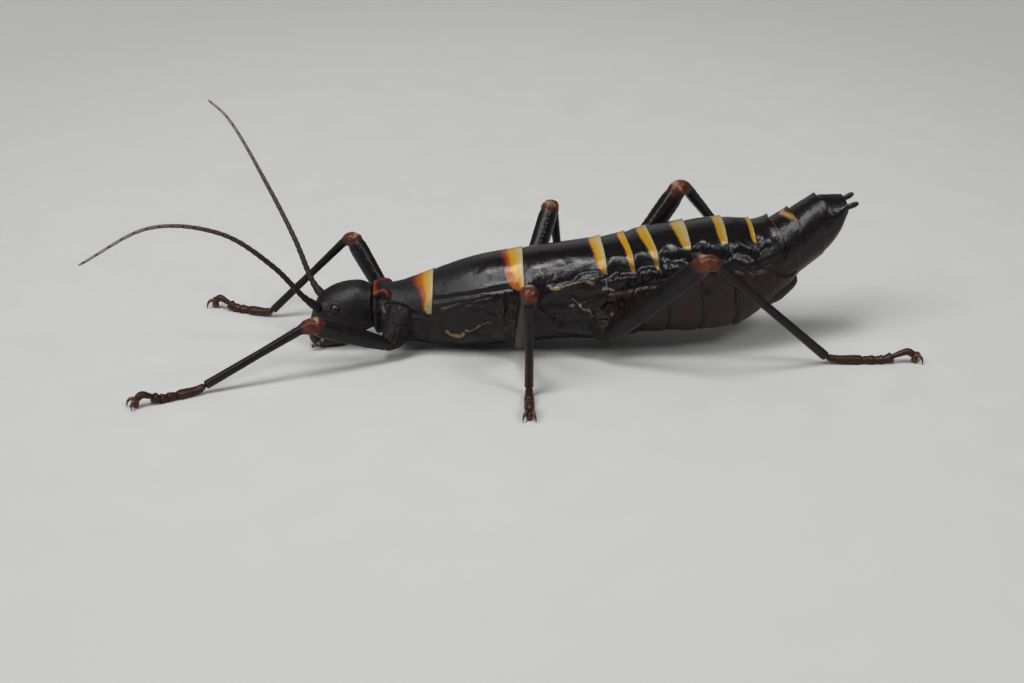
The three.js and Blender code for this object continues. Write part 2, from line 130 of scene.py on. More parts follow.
# hip and turn: the coxa's two ends, as x, distance from the middle plane and z. Then
# the lengths of femur and foot, the coxa's radius and how far its root is raised, the
# femur's radius at its base and its knee and how flat it is, and the tibia's radius
# at its knee and its ankle.
PAIRS = {
    "front": dict(hip=(-10.9, 1.9, 3.1), turn=(-11.7, 4.25, 1.6), femur=9.4, foot=7.3,
                  hip_size=1.0, hip_rise=1.3, thigh=(0.62, 0.98, 0.8), shin=(0.44, 0.37)),
    "middle": dict(hip=(0.4, 2.8, 3.4), turn=(0.85, 5.3, 2.2), femur=11.4, foot=6.0,
                   hip_size=0.95, hip_rise=0.3, thigh=(0.85, 1.05, 0.9), shin=(0.52, 0.4)),
    "hind": dict(hip=(8.5, 3.1, 4.2), turn=(9.3, 5.35, 2.95), femur=14.1, foot=9.3,
                 hip_size=1.0, hip_rise=0.4, thigh=(0.9, 1.05, 0.85), shin=(0.6, 0.44)),
}
# The femur's heading and rise in degrees, where the ankle stands, the foot's heading.
LEGS = {
    ("front", "left"): ((-152, 24), (-28.95, -12.1), -150),
    ("front", "right"): ((143, 51), (-24.75, 7.6), 156),
    ("middle", "left"): ((-84.2, 47.3), (1.6, -12.6), -90),
    ("middle", "right"): ((61.5, 53), (5.4, 13.4), 66),
    ("hind", "left"): ((-26.5, 42.5), (30.65, -4.95), 2),
    ("hind", "right"): ((24, 51.5), (27.0, 16.0), 75),
}

# Joints of the foot, as shares of its length, and the height of its middle line.
FOOT_LINE = [(0, 0.78), (0.1, 0.52), (0.3, 0.42), (0.62, 0.42), (0.74, 0.85), (0.86, 1.18),
             (0.93, 0.86)]


def srgb(code):
    """The linear colour of an sRGB hex value such as 1e1d20."""
    parts = [int(code[i:i + 2], 16) / 255 for i in (0, 2, 4)]
    return tuple(c / 12.92 if c <= 0.04045 else ((c + 0.055) / 1.055) ** 2.4 for c in parts)


# ---- Settings that a user would change ----

def colour_setting(name, code, about):
    return FloatVectorProperty(name=name, description=about, subtype="COLOR", size=3,
                               min=0.0, max=1.0, default=srgb(code))


def length_setting(name, millimetres, about):
    return FloatProperty(name=name, description=about, unit="LENGTH", default=millimetres * MM)


def light_setting(name, watts, about):
    return FloatProperty(name=name, description=about, unit="POWER", default=watts, min=0.0)


class InsectShape(bpy.types.PropertyGroup):
    """Sizes of the relief on the insect's skin"""
    ridge: length_setting("Flank ridge", 0.2, "Height of the shining ridge along each side")
    groove: length_setting("Flank groove", 0.22, "Depth of the folds below the ridge")
    belly_seam: length_setting("Belly seam", 0.15, "Depth of the seams between belly plates")
    grain: length_setting("Grain", 0.012, "Height of the fine unevenness of the skin")
    gland: length_setting("Gland rim", 0.3, "Height of the rim round each scent gland")
    eye: length_setting("Eye radius", 0.58, "Radius of each eye")
    feeler_tip: length_setting("Feeler tip", 0.11, "Radius of the tip of each feeler")
    leg_ridge: FloatProperty(name="Leg ridge", subtype="FACTOR", default=0.07, min=0.0, max=0.3,
                             description="Height of the leg ridges, as a share of the radius")


class InsectColours(bpy.types.PropertyGroup):
    """Colours of the insect's finishes"""
    black: colour_setting("Black", "121115", "Back plates, head and legs")
    brown: colour_setting("Brown", "301912", "Belly plates")
    dark_brown: colour_setting("Dark brown", "191213", "Folds, pads and shaded belly")
    yellow: colour_setting("Yellow", "b58c0f", "Middle of each band")
    cream: colour_setting("Cream", "aca07b", "Rear edge of each band")
    orange: colour_setting("Orange", "a2560a", "Front part of each band")
    red: colour_setting("Red", "6e2015", "Front edge of each band, collar and glands")
    brick: colour_setting("Brick", "693626", "Knees")
    tan: colour_setting("Tan", "8f7b5a", "Marks on the flanks and the knee skin")
    amber: colour_setting("Amber", "8a5a2c", "Soles and edges of the feet")
    horn: colour_setting("Horn", "3c2012", "Claws")


class InsectStage(bpy.types.PropertyGroup):
    """The floor and the lights"""
    floor: colour_setting("Floor", "cfcfce", "Pale floor")
    overhead: light_setting("Overhead light", 1.2, "Power of the large light above")
    left: light_setting("Left light", 4.9, "Power of the light in front, by the head")
    right: light_setting("Right light", 2.5, "Power of the light in front, by the tail")
    rear: light_setting("Rear light", 0.6, "Power of the broad light behind the model")
    sky: FloatProperty(name="Surroundings", default=0.15, min=0.0,
                       description="Brightness of the pale room around the model")


SETTINGS = {"insect_shape": InsectShape, "insect_colours": InsectColours,
            "insect_stage": InsectStage}

# ---- Small helpers ----

def hump(value, middle, spread):
    """A smooth hump: 1 at its middle, near 0 two spreads away."""
    return np.exp(-((value - middle) / spread) ** 2)


def rise(value, start, end):
    """0 before start, 1 after end, and a soft slope between."""
    share = np.clip((value - start) / (end - start), 0, 1)
    return share * share * (3 - 2 * share)


def fall(value, start, end):
    """1 before start, 0 after end, and a soft slope between."""
    return 1 - rise(value, start, end)


def span(value, start, full, fade, end):
    """1 from full to fade, with a soft slope down to 0 at start and at end."""
    return rise(value, start, full) * fall(value, fade, end)


def rounded(beyond, least):
    """Shrinks from 1 like a ball's edge, over a share beyond a tube's last full row."""
    return np.sqrt(np.clip(1 - np.clip(beyond, 0, 1) ** 2, least, 1))


def hermite(start, end, out, into, t):
    """A cubic from start, leaving it along out, to end, coming into it along into."""
    return (start * (2 * t**3 - 3 * t**2 + 1) + out * (t**3 - 2 * t**2 + t)
            + end * (3 * t**2 - 2 * t**3) + into * (t**3 - t**2))


def with_ends(row):
    """Adds one more number or point, in line, before the first and after the last."""
    row = np.asarray(row, float)
    return np.concatenate([[2 * row[0] - row[1]], row, [2 * row[-1] - row[-2]]])


def smooth(numbers, place):
    """A smooth curve through evenly spaced numbers, at any places 0 ... n - 1."""
    i = np.clip(np.floor(place).astype(int), 0, len(numbers) - 2)
    padded = with_ends(numbers)
    a, b, c, d = (padded[i + k] for k in range(4))
    return hermite(b, c, (c - a) / 2, (d - b) / 2, place - i)


def curve_through(points, steps):
    """Evenly spaced points on the centripetal Catmull-Rom curve through points."""
    points, pieces = with_ends(points), []
    for a, b, c, d in zip(points, points[1:], points[2:], points[3:]):
        ab, bc, cd = (math.sqrt(np.linalg.norm(v)) for v in (b - a, c - b, d - c))
        out = ((b - a) / ab - (c - a) / (ab + bc) + (c - b) / bc) * bc
        into = ((c - b) / bc - (d - b) / (bc + cd) + (d - c) / cd) * bc
        pieces.append(hermite(b, c, out, into, np.linspace(0, 1, 60)[:, None]))
    line = np.concatenate(pieces)
    run = np.concatenate([[0], np.cumsum(np.linalg.norm(np.diff(line, axis=0), axis=1))])
    even = np.linspace(0, run[-1], steps)
    return np.stack([np.interp(even, run, line[:, k]) for k in range(3)], axis=-1)


CURVE_STEPS = 40


def bezier(*corners, steps=CURVE_STEPS):
    """Points along one Bezier curve."""
    t = np.linspace(0, 1, steps)[:, None]
    corners = [np.array(corner, float) for corner in corners]
    while len(corners) > 1:
        corners = [a + (b - a) * t for a, b in zip(corners, corners[1:])]
    return corners[0]


def rough(points, size, octaves=3, seed=0.0):
    """Soft random unevenness, about size mm across, from -1 to 1 at each point."""
    flat = points.reshape(-1, 3) / size + np.array([seed, 1.7 * seed, -seed])
    values = [noise.fractal(Vector(p), 0.9, 2.0, octaves) for p in flat.tolist()]
    return np.clip(np.array(values), -1, 1).reshape(points.shape[:-1])


def bend_y(x):
    return BODY_BEND * (x - BEND_START) ** 2


def centre_of(spot, side):
    """A place given as x, distance from the middle plane and z, on one side."""
    return np.array([spot[0], bend_y(spot[0]) + side * spot[1], spot[2]])


def unit(vectors):
    length = np.linalg.norm(vectors, axis=-1, keepdims=True)
    return vectors / np.maximum(length, 1e-9)


def path_distance(points, path):
    """Distance from each point to a path of straight pieces."""
    nearest = np.full(points.shape[:-1], np.inf)
    for start, end in zip(path, path[1:]):
        start, along = np.array(start, float), np.subtract(end, start)
        share = np.clip(((points - start) @ along) / (along @ along), 0, 1)
        off = points - start - share[..., None] * along
        nearest = np.minimum(nearest, np.linalg.norm(off, axis=-1))
    return nearest


def turns(columns):
    """Angles of the columns round a tube; 0 is its upper side."""
    return np.linspace(-math.pi, math.pi, columns, endpoint=False)


def degrees_down(angle):
    """Degrees from the upper side, the same on both sides."""
    return np.degrees(np.abs(angle))


def ring_surface(rings, place, angle, relief=1.0, taper=1.0):
    """Points round the rings. Angle 0 is the middle of the back; positive is left."""
    back_x, back_z, belly_x, belly_z, half_width = (smooth(column, place) for column in rings.T)
    middle_x, middle_z = (back_x + belly_x) / 2, (back_z + belly_z) / 2
    yaw = np.arctan(2 * BODY_BEND * (middle_x - BEND_START))
    out = np.sin(angle) * half_width * relief * taper
    up = np.cos(angle) * relief
    return np.stack([middle_x + np.sin(yaw) * out + (back_x - middle_x) * up,
                     bend_y(middle_x) - np.cos(yaw) * out,
                     middle_z + (back_z - middle_z) * up], axis=-1)


def tube(route, radius, columns, relief=1.0, flat=1.0):
    """A tube of points round a route. Flat is its width as a share of its depth."""
    forward = unit(np.gradient(route, axis=0))
    side = unit(np.cross((0.0, 0.0, 1.0), forward))
    upper = np.cross(forward, side)
    across = np.sin(turns(columns)) * relief * np.reshape(radius * flat, (-1, 1))
    up = np.cos(turns(columns)) * relief * np.reshape(radius, (-1, 1))
    return route[:, None] + side[:, None] * across[..., None] + upper[:, None] * up[..., None]


def ball(centre, radii, rows=24, columns=32):
    """A closed ball of points; its poles lie along x."""
    turn, angle = np.meshgrid(np.linspace(0.04, math.pi - 0.04, rows), turns(columns),
                              indexing="ij")
    directions = [-np.cos(turn), np.sin(turn) * np.sin(angle), np.sin(turn) * np.cos(angle)]
    return np.array(centre) + np.stack(directions, axis=-1) * np.array(radii)


def lift(grid, height):
    """Raises or lowers the skin of a closed tube along its own normals by height mm."""
    wrapped = np.concatenate([grid[:, -1:], grid, grid[:, :1]], axis=1)
    normal = unit(np.cross(np.gradient(grid, axis=0), wrapped[:, 2:] - wrapped[:, :-2]))
    outward = np.sum(normal * (grid - grid.mean(axis=1, keepdims=True)), -1)
    return grid + normal * (1 if np.mean(outward) > 0 else -1) * np.asarray(height)[..., None]


END_ROWS = 5


def round_end(grid, bulge):
    """Adds rows that close a tube's last end in a shallow dome, or a hollow below 0."""
    rim, middle = grid[-1], grid[-1].mean(axis=0)
    outward = unit(middle - grid[-2].mean(axis=0))
    rows = []
    for step in range(1, END_ROWS + 1):
        turn = step / END_ROWS * math.pi / 2 * 0.98
        rows.append(middle + (rim - middle) * math.cos(turn) + outward * bulge * math.sin(turn))
    return np.concatenate([grid, rows])


# From the insect's own millimetres to the frame, by the place of the eyes.
OFFSET = sum(np.array(corner) / MM for eye in ("eye_left", "eye_right")
             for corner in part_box(eye)) / 4 - centre_of(EYE_AT, 0)


def add_piece(name, build, slot, nodes, *shells):
    """Makes one piece from closed tubes of points in mm, in place of some nodes.

    A shell is the grid of a tube's points and what its finish reads there, by name.
    """
    points, faces, count = [], [], 0
    held = {key: [] for key in MESH_VALUES.get(build.__name__, ())}
    for grid, values in shells:
        rows, columns = grid.shape[:2]
        index = np.arange(rows * columns).reshape(rows, columns) + count
        following = np.roll(index, -1, axis=1)
        quads = np.stack([index[:-1], following[:-1], following[1:], index[1:]], axis=-1)
        shell = quads.reshape(-1, 4).tolist()
        first = count + rows * columns  # the middle of the first end, then of the last
        shell += [(first, b, a) for a, b in zip(index[0].tolist(), following[0].tolist())]
        shell += [(first + 1, a, b) for a, b in zip(index[-1].tolist(), following[-1].tolist())]
        middle = grid.mean(axis=1)
        lengthwise, sideways = grid[1:] - grid[:-1], np.roll(grid, -1, 1)[:-1] - grid[:-1]
        outside = np.sum(np.cross(lengthwise, sideways) * (grid[:-1] - middle[:-1, None]))
        faces += [face[::-1] for face in shell] if outside > 0 else shell
        points += [grid.reshape(-1, 3), middle[:1], middle[-1:]]
        for key, parts in held.items():
            value = np.broadcast_to(values.get(key, 0.0), (rows, columns)).astype(float)
            parts += [value.reshape(-1), [value[0].mean(), value[-1].mean()]]
        count += rows * columns + 2
    mesh = bpy.data.meshes.new(name)
    mesh.from_pydata(((np.concatenate(points) + OFFSET) * MM).tolist(), [], faces)
    for key, parts in held.items():
        attribute = mesh.attributes.new(key, "FLOAT", "POINT")
        attribute.data.foreach_set("value", np.concatenate(parts))
    mesh.shade_smooth()
    mesh.materials.append(finish(build))
    piece = bpy.data.objects.new(name, mesh)
    bpy.context.scene.collection.objects.link(piece)
    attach(piece, "root")
    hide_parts(*nodes)


# ---- Finishes ----

CHITIN_IOR = 1.56
COLOUR_MIX = dict(output=2, data_type="RGBA")  # of inputs 6 and 7, by input 0
SOFT_RANGE = dict(interpolation_type="SMOOTHSTEP")
MULTIPLY_ADD = dict(operation="MULTIPLY_ADD")  # input 0 times input 1, plus input 2

# What the meshes hold at every point, for the finishes that read it.
MESH_VALUES = {
    "waxed_black_cuticle": ("band", "band_red", "band_cream", "belly", "pale", "crease", "rust",
                            "dull", "satin"),
    "satin_leg_cuticle": ("knee", "skin", "foot", "edge", "dull"),
    "downy_feeler_cuticle": ("along", "joint"),
    "bristly_mouth_cuticle": ("pale",),
}
NO_BAND = 3.0  # a band value far outside every band

# Grains of each finish: real size in mm, detail and coarseness of its noise.
GRAINS = {
    "waxed_black_cuticle": dict(mottle=(1.3, 3.0, 0.6), speckle=(0.28, 4.0, 0.65),
                                leather=(0.5, 3.0, 0.6)),
    "satin_leg_cuticle": dict(mottle=(0.9, 3.0, 0.6), speckle=(0.22, 4.0, 0.65),
                              leather=(0.5, 3.0, 0.6)),
    "downy_feeler_cuticle": dict(speckle=(0.16, 3.0, 0.5)),
    "red_brown_claw_horn": dict(layers=(0.3, 3.0, 0.5)),
    "bristly_mouth_cuticle": dict(speckle=(0.25, 4.0, 0.7)),
    "matt_white_card": dict(tooth=(6.0, 3.0, 0.5)),
}


def add_node(tree, kind, inputs, output=0, stops=(), **settings):
    """Adds one shader node with its settings, and gives one of its outputs.

    Inputs, by number or name, are sockets to link or values to type in.
    """
    made = tree.nodes.new("ShaderNode" + kind)
    for key, value in settings.items():
        setattr(made, key, value)
    for number, (position, colour) in enumerate(stops):
        elements = made.color_ramp.elements
        element = elements[number] if number < 2 else elements.new(position)
        element.position, element.color = position, (*colour, 1.0)
    for key, value in inputs.items() if isinstance(inputs, dict) else enumerate(inputs):
        socket = made.inputs[key]
        if isinstance(value, bpy.types.NodeSocket):
            tree.links.new(value, socket)
        else:
            socket.default_value = (*value, 1.0) if socket.type == "RGBA" else value
    return made.outputs[output] if made.outputs else None


def grain_scale(millimetres):
    """Noise scale for lumps of a real size, in a space measured in metres."""
    return 1.0 / (millimetres * MM)


def add_shader(node, colour, roughness, height, depth, **inputs):
    """The roughness, the bump, the shader and the output that every finish ends with.

    Roughness is what varies it, by how much, and its least; depth is the bump's, in mm.
    """
    inputs = {name.replace("_", " "): value for name, value in inputs.items()}
    node("OutputMaterial", {"Surface": node("BsdfPrincipled", {
        "Base Color": colour, "Roughness": node("Math", roughness, **MULTIPLY_ADD),
        "Normal": node("Bump", {"Height": height, "Strength": 1.0, "Distance": depth * MM}),
        **inputs})})


def ragged_layer(node, under, over, amount, ragged, low, high):
    """Lays a colour over another where an amount, plus a ragged one, passes low to high."""
    amount = node("Math", [amount, ragged], operation="ADD")
    amount = node("MapRange", {0: amount, 1: low, 2: high}, **SOFT_RANGE)
    return node("Mix", {0: amount, 6: under, 7: over}, **COLOUR_MIX)


def leathery(node, read, fine, depth):
    """Adds a leathery grain to a fine one, deeper where the skin is duller."""
    leather = node("Math", [read["leather"], read["dull"]], operation="MULTIPLY")
    return node("Math", [leather, depth, fine], **MULTIPLY_ADD)


def waxed_black_cuticle(node, read, colours):
    """Sclerotised insect cuticle (chitin), tanned black and waxed.

    Grown smooth, with pores about 0.15 mm apart: black with a soft broad gloss,
    slightly orange-peeled, duller and browner where the plates give way to skin.
    """
    mottle, speckle = read["mottle"], read["speckle"]
    pores = node("TexVoronoi", {"Vector": read["where"], "Scale": grain_scale(0.15)},
                 feature="F1")

    # Ground colour: black plates, brown belly.
    black = node("ValToRGB", [mottle],
                 stops=[(0.3, colours.black), (0.75, colours.dark_brown)])
    brown = node("ValToRGB", [mottle],
                 stops=[(0.28, colours.dark_brown), (0.58, colours.brown)])
    warp = node("Math", [speckle, 0.3, -0.15], **MULTIPLY_ADD)
    belly = node("Math", [read["belly"], warp], operation="ADD", use_clamp=True)
    ground = node("Mix", {0: belly, 6: black, 7: brown}, **COLOUR_MIX)
    rust = node("Mix", {0: read["rust"], 6: ground, 7: colours.amber}, **COLOUR_MIX)

    # Bands: distance from the plate's rear edge, 0 ... 1, warped by the speckle.
    inner = node("MapRange", [read["band"], 0.0, 0.5])
    band = node("Math", [warp, inner, read["band"]], **MULTIPLY_ADD)
    cream_end = node("Math", [read["band_cream"], 1.7], operation="MULTIPLY")
    yellow = node("MapRange", [band, 0.02, cream_end], **SOFT_RANGE)
    orange_start = node("Math", [1.0, read["band_red"]], operation="SUBTRACT")
    orange_full = node("Math", [orange_start, 0.22], operation="ADD")
    orange = node("MapRange", [band, orange_start, orange_full], **SOFT_RANGE)
    # Inside a band, rust is where its front edge stays orange.
    deep = node("Math", [1.0, read["rust"]], operation="SUBTRACT")
    red = node("MapRange", [band, 0.6, 0.98, 0.0, deep], **SOFT_RANGE)
    hot = node("Mix", {0: red, 6: colours.orange, 7: colours.red}, **COLOUR_MIX)
    colour = node("Mix", {0: yellow, 6: colours.cream, 7: colours.yellow}, **COLOUR_MIX)
    colour = node("Mix", {0: orange, 6: colour, 7: hot}, **COLOUR_MIX)
    outside = node("MapRange", [band, 0.84, 1.12], **SOFT_RANGE)
    colour = node("Mix", {0: outside, 6: colour, 7: rust}, **COLOUR_MIX)

    # Pale membrane showing along some edges on the flanks.
    torn = node("Math", [speckle, 1.2, -0.6], **MULTIPLY_ADD)
    colour = ragged_layer(node, colour, colours.tan, read["pale"], torn, 0.45, 1.0)
    # Painted shade in seams, hollows and pits, and the darker bands: mixed towards near black.
    colour = node("Mix", {0: read["crease"], 6: colour, 7: srgb("0c0a0b")}, **COLOUR_MIX)

    # Roughness: 0.1 on the polished plates, more on dull skin and on satin plates.
    gloss = node("Math", [read["dull"], 0.27, 0.1], **MULTIPLY_ADD)
    gloss = node("Math", [read["satin"], 0.3, gloss], **MULTIPLY_ADD)
    height = node("Math", [speckle, pores], operation="ADD")
    height = leathery(node, read, height, 13.0)
    add_shader(node, colour, [mottle, 0.12, gloss], height, 0.01, IOR=CHITIN_IOR,
               Specular_IOR_Level=0.4)


def satin_leg_cuticle(node, read, colours):
    """Leg cuticle, grown as ridged tubes and tanned nearly black.

    Satin black with a greyish bloom, brick red at the knees, where it is thinner
    and the tanning stops, and browner down the feet with amber edges.
    """
    mottle, speckle = read["mottle"], read["speckle"]
    black = node("ValToRGB", [mottle], stops=[(0.3, srgb("161516")), (0.7, srgb("231d1d"))])
    brown = node("ValToRGB", [speckle], stops=[(0.3, srgb("24150f")), (0.65, srgb("4a2c1d"))])
    brick = node("ValToRGB", [mottle], stops=[(0.3, srgb("42201a")), (0.65, colours.brick)])
    colour = node("Mix", {0: read["foot"], 6: black, 7: brown}, **COLOUR_MIX)
    ragged = node("Math", [speckle, 0.5, -0.25], **MULTIPLY_ADD)
    for name, tint, low, high in (("knee", brick, 0.15, 0.85), ("edge", colours.amber, 0.35, 0.9),
                                  ("skin", colours.tan, 0.35, 0.8)):
        colour = ragged_layer(node, colour, tint, read[name], ragged, low, high)
    gloss = node("Math", [read["dull"], 0.36, 0.22], **MULTIPLY_ADD)
    height = leathery(node, read, speckle, 5.0)
    add_shader(node, colour, [mottle, 0.2, gloss], height, 0.02, IOR=CHITIN_IOR,
               Specular_IOR_Level=0.3)


def downy_feeler_cuticle(node, read, colours):
    """Feeler cuticle: thin ringed tubes under a short down.

    Dull, near black at the root, grey-brown and paler towards the tip, with a
    darker ring at each joint.
    """
    speckle = read["speckle"]
    drift = node("Math", [speckle, 0.12, read["along"]], **MULTIPLY_ADD)
    colour = node("ValToRGB", [drift], stops=[(0.06, srgb("1d1b1d")), (0.3, srgb("3a2d2a")),
                                              (0.62, srgb("5b4a42")), (1.0, srgb("8d8178"))])
    colour = node("Mix", {0: read["joint"], 6: colour, 7: srgb("1a1718")}, **COLOUR_MIX)
    add_shader(node, colour, [speckle, 0.2, 0.45], speckle, 0.02, IOR=CHITIN_IOR,
               Specular_IOR_Level=0.3)


def compound_eye(node, read, colours):
    """Compound eye: a hexagonal grid of clear lenses over black pigment.

    The lenses are about 0.05 mm across, too fine to show, so they are drawn at
    0.07 mm: a polished black dome whose highlight breaks up slightly.
    """
    lenses = node("TexVoronoi", {"Vector": read["where"], "Scale": grain_scale(0.07),
                                 "Randomness": 0.35}, feature="F1")
    colour = node("ValToRGB", [lenses], stops=[(0.2, srgb("0e0d11")), (0.7, srgb("241d20"))])
    add_shader(node, colour, [lenses, 0.1, 0.2], lenses, -0.006, IOR=CHITIN_IOR)


def red_brown_claw_horn(node, read, colours):
    """Claw and pad horn, grown in layers: red-brown, glossy and faintly clouded."""
    layers = read["layers"]
    colour = node("ValToRGB", [layers], stops=[(0.3, colours.horn), (0.7, srgb("6b3a24"))])
    add_shader(node, colour, [layers, 0.15, 0.3], layers, 0.01, IOR=CHITIN_IOR)


def bristly_mouth_cuticle(node, read, colours):
    """Mouthpart cuticle, jointed and bristly: dull brown with tan joints."""
    speckle = read["speckle"]
    colour = node("ValToRGB", [speckle], stops=[(0.35, srgb("1c1715")), (0.68, srgb("44352a"))])
    mask = node("Math", [read["pale"], speckle], operation="MULTIPLY")
    mask = node("MapRange", [mask, 0.15, 0.5])
    colour = node("Mix", {0: mask, 6: colour, 7: colours.tan}, **COLOUR_MIX)
    add_shader(node, colour, [speckle, 0.25, 0.38], speckle, 0.03, IOR=CHITIN_IOR)


def matt_white_card(node, read, colours):
    """Matt white card, pressed: a faint tooth, no visible gloss; painted pool of light and glow."""
    card = bpy.context.scene.insect_stage.floor
    tooth = read["tooth"]
    colour = node("ValToRGB", [tooth], stops=[(0.3, [c * 0.97 for c in card]), (0.7, card)])
    # Paler in the middle, as under a lamp's pool of light.
    off = node("VectorMath", [read["where"], (1.5, 1.0, 1.0), (0.0, -0.045, 0.0)],
               **MULTIPLY_ADD)
    away = node("VectorMath", [off], "Value", operation="LENGTH")
    shade = node("MapRange", [away, 0.055, 0.14], **SOFT_RANGE)
    colour = node("Mix", {0: shade, 6: colour, 7: [c * 0.9 for c in card]}, **COLOUR_MIX)
    # Far off, past the lamps, a painted glow seen by the camera makes it as pale as the room
    # behind.
    far = node("MapRange", [away, 0.18, 0.65, 0.0, 0.42], **SOFT_RANGE)
    glow = node("Math", [node("LightPath", ()), far], operation="MULTIPLY")
    add_shader(node, colour, [tooth, 0.1, 0.6], tooth, 0.01, Emission_Color=(1.0, 1.0, 1.0),
               Emission_Strength=glow)


FINISHES = {}


def finish(build):
    """The material whose nodes a function adds, named for it, made once and shared.

    The function is given what adds a node, what it reads at each point (its place,
    the mesh's values and the grains) and the colours.
    """
    name = build.__name__
    if name not in FINISHES:
        FINISHES[name] = material = bpy.data.materials.new(name)
        material.use_nodes = True
        material.node_tree.nodes.clear()
        node = partial(add_node, material.node_tree)
        read = {"where": node("TexCoord", (), "Object")}
        for key in MESH_VALUES.get(name, ()):
            read[key] = node("Attribute", (), "Fac", attribute_name=key)
        for key, (size, detail, coarseness) in GRAINS.get(name, {}).items():
            read[key] = node("TexNoise", {"Vector": read["where"], "Scale": grain_scale(size),
                                          "Detail": detail, "Roughness": coarseness})
        build(node, read, bpy.context.scene.insect_colours)
    return FINISHES[name]


# ---- Trunk ----

ROW_STEP = 0.112  # spacing of the skin's rows, mm
TRUNK_COLUMNS = 204
STEP_PLACE = 0.012  # how soon after a plate's edge the step has dropped
RING_SPACING = 3.1  # between the abdomen's rings, mm
GLAND_PLACE, GLAND_ANGLE = 0.42, 0.82  # along the rings, and radians from the back
GLAND_RADIUS = 0.55  # of the rim's crest, mm

# Ridges (+) and folds (-) on the flanks: half width, height, then x and z of each point.
FLANK_FOLDS = [
    (0.16, -0.2, -7.5, 6.05, -0.2, 7.45), (0.22, 0.1, -7.3, 6.45, -0.4, 7.85),
    (0.13, 0.08, -7.0, 5.7, -1.6, 7.0), (0.12, -0.12, -7.0, 5.4, -2.1, 6.7),
    (0.13, 0.08, -6.82, 5.03, -4.87, 5.93, -2.6, 6.83),
    (0.14, -0.15, -6.94, 4.6, -6.06, 5.0, -4.07, 5.9),
    # The mesothorax: scalloped lower edge of its side plate.
    (0.13, 0.08, -6.53, 3.1, -6.17, 2.7, -5.6, 2.48, -5.02, 2.42, -4.72, 2.9),
    (0.13, 0.08, -4.47, 3.2, -3.99, 3.1, -3.52, 3.32, -3.1, 3.65, -2.5, 4.0),
    (0.11, -0.12, -6.68, 2.64, -6.18, 2.15, -5.51, 1.95, -4.73, 2.1, -3.99, 2.7, -3.05, 3.2,
     -2.05, 3.7),
    (0.15, -0.16, -7.05, 3.7, -6.9, 2.6, -6.38, 1.6, -4.94, 0.94, -3.34, 1.2, -1.95, 2.3, -1.29,
     3.9, -1.7, 5.2), (0.13, 0.1, -0.9, 6.4, -0.75, 5.6, -1.0, 4.8, -0.8, 4.0),
    (0.13, -0.13, -0.4, 6.8, -0.3, 5.5, -0.6, 4.5),
    # The metathorax: a pale crest with a hollow under it.
    (0.2, 0.2, 3.79, 7.56, 4.46, 7.59, 5.23, 7.79, 6.3, 8.12, 7.14, 8.27, 7.92, 8.22),
    (0.2, -0.1, 4.26, 7.95, 5.21, 8.18, 6.3, 8.55),
    (0.13, 0.2, 5.8, 6.57, 6.58, 5.92, 7.0, 5.46, 7.58, 5.52, 7.78, 4.93, 8.28, 4.87),
    (0.2, 0.26, 3.01, 5.45, 4.3, 4.55, 5.46, 3.96), (0.16, -0.18, 2.9, 5.05, 4.2, 4.15, 5.3, 3.6),
    (0.14, 0.14, 8.71, 7.59, 9.29, 7.66, 9.81, 7.42), (0.16, 0.16, 6.0, 5.6, 6.3, 5.5),
    (0.16, 0.16, 6.5, 4.95, 6.9, 4.95), (0.13, 0.2, 7.95, 6.05, 8.2, 6.2),
    (0.13, 0.16, 8.95, 4.15, 9.09, 3.27), (0.13, 0.14, 9.57, 3.91, 9.39, 3.29),
    (0.2, 0.15, 10.02, 4.3, 11.65, 5.4),
    # The prothorax: the lower edge of its shield, and the folds of the neck.
    (0.16, -0.13, -12.18, 5.15, -11.48, 5.2, -10.57, 4.95, -9.77, 4.55, -8.4, 4.2),
    (0.18, 0.04, -12.26, 5.5, -11.4, 5.55, -10.58, 5.35, -9.57, 4.9),
    (0.18, -0.08, -12.36, 5.03, -12.42, 4.02, -12.52, 2.86), (0.2, 0.14, -8.89, 4.3, -7.91, 3.5),
    (0.15, -0.14, -9.3, 3.9, -8.3, 2.4), (0.14, -0.03, -13.1, 4.6, -13.0, 3.2, -12.9, 2.3),
]
# Swollen (+) or hollow (-) places: middle x, z, half length, half height, tilt, height.
FLANK_OVALS = [
    (-4.6, 3.9, 2.6, 1.25, 20, 0.1), (-4.5, 1.9, 2.4, 0.75, 4, 0.12),
    (5.5, 6.5, 2.7, 0.95, 8, -0.26), (7.54, 8.6, 1.5, 0.45, 5, 0.16),
    (9.35, 5.5, 0.75, 0.8, 0, -0.34), (6.2, 3.1, 1.9, 1.0, 0, 0.14),
    (-10.6, 3.6, 1.3, 1.1, 20, 0.12), (2.2, 3.6, 0.9, 1.2, 0, -0.12),
]
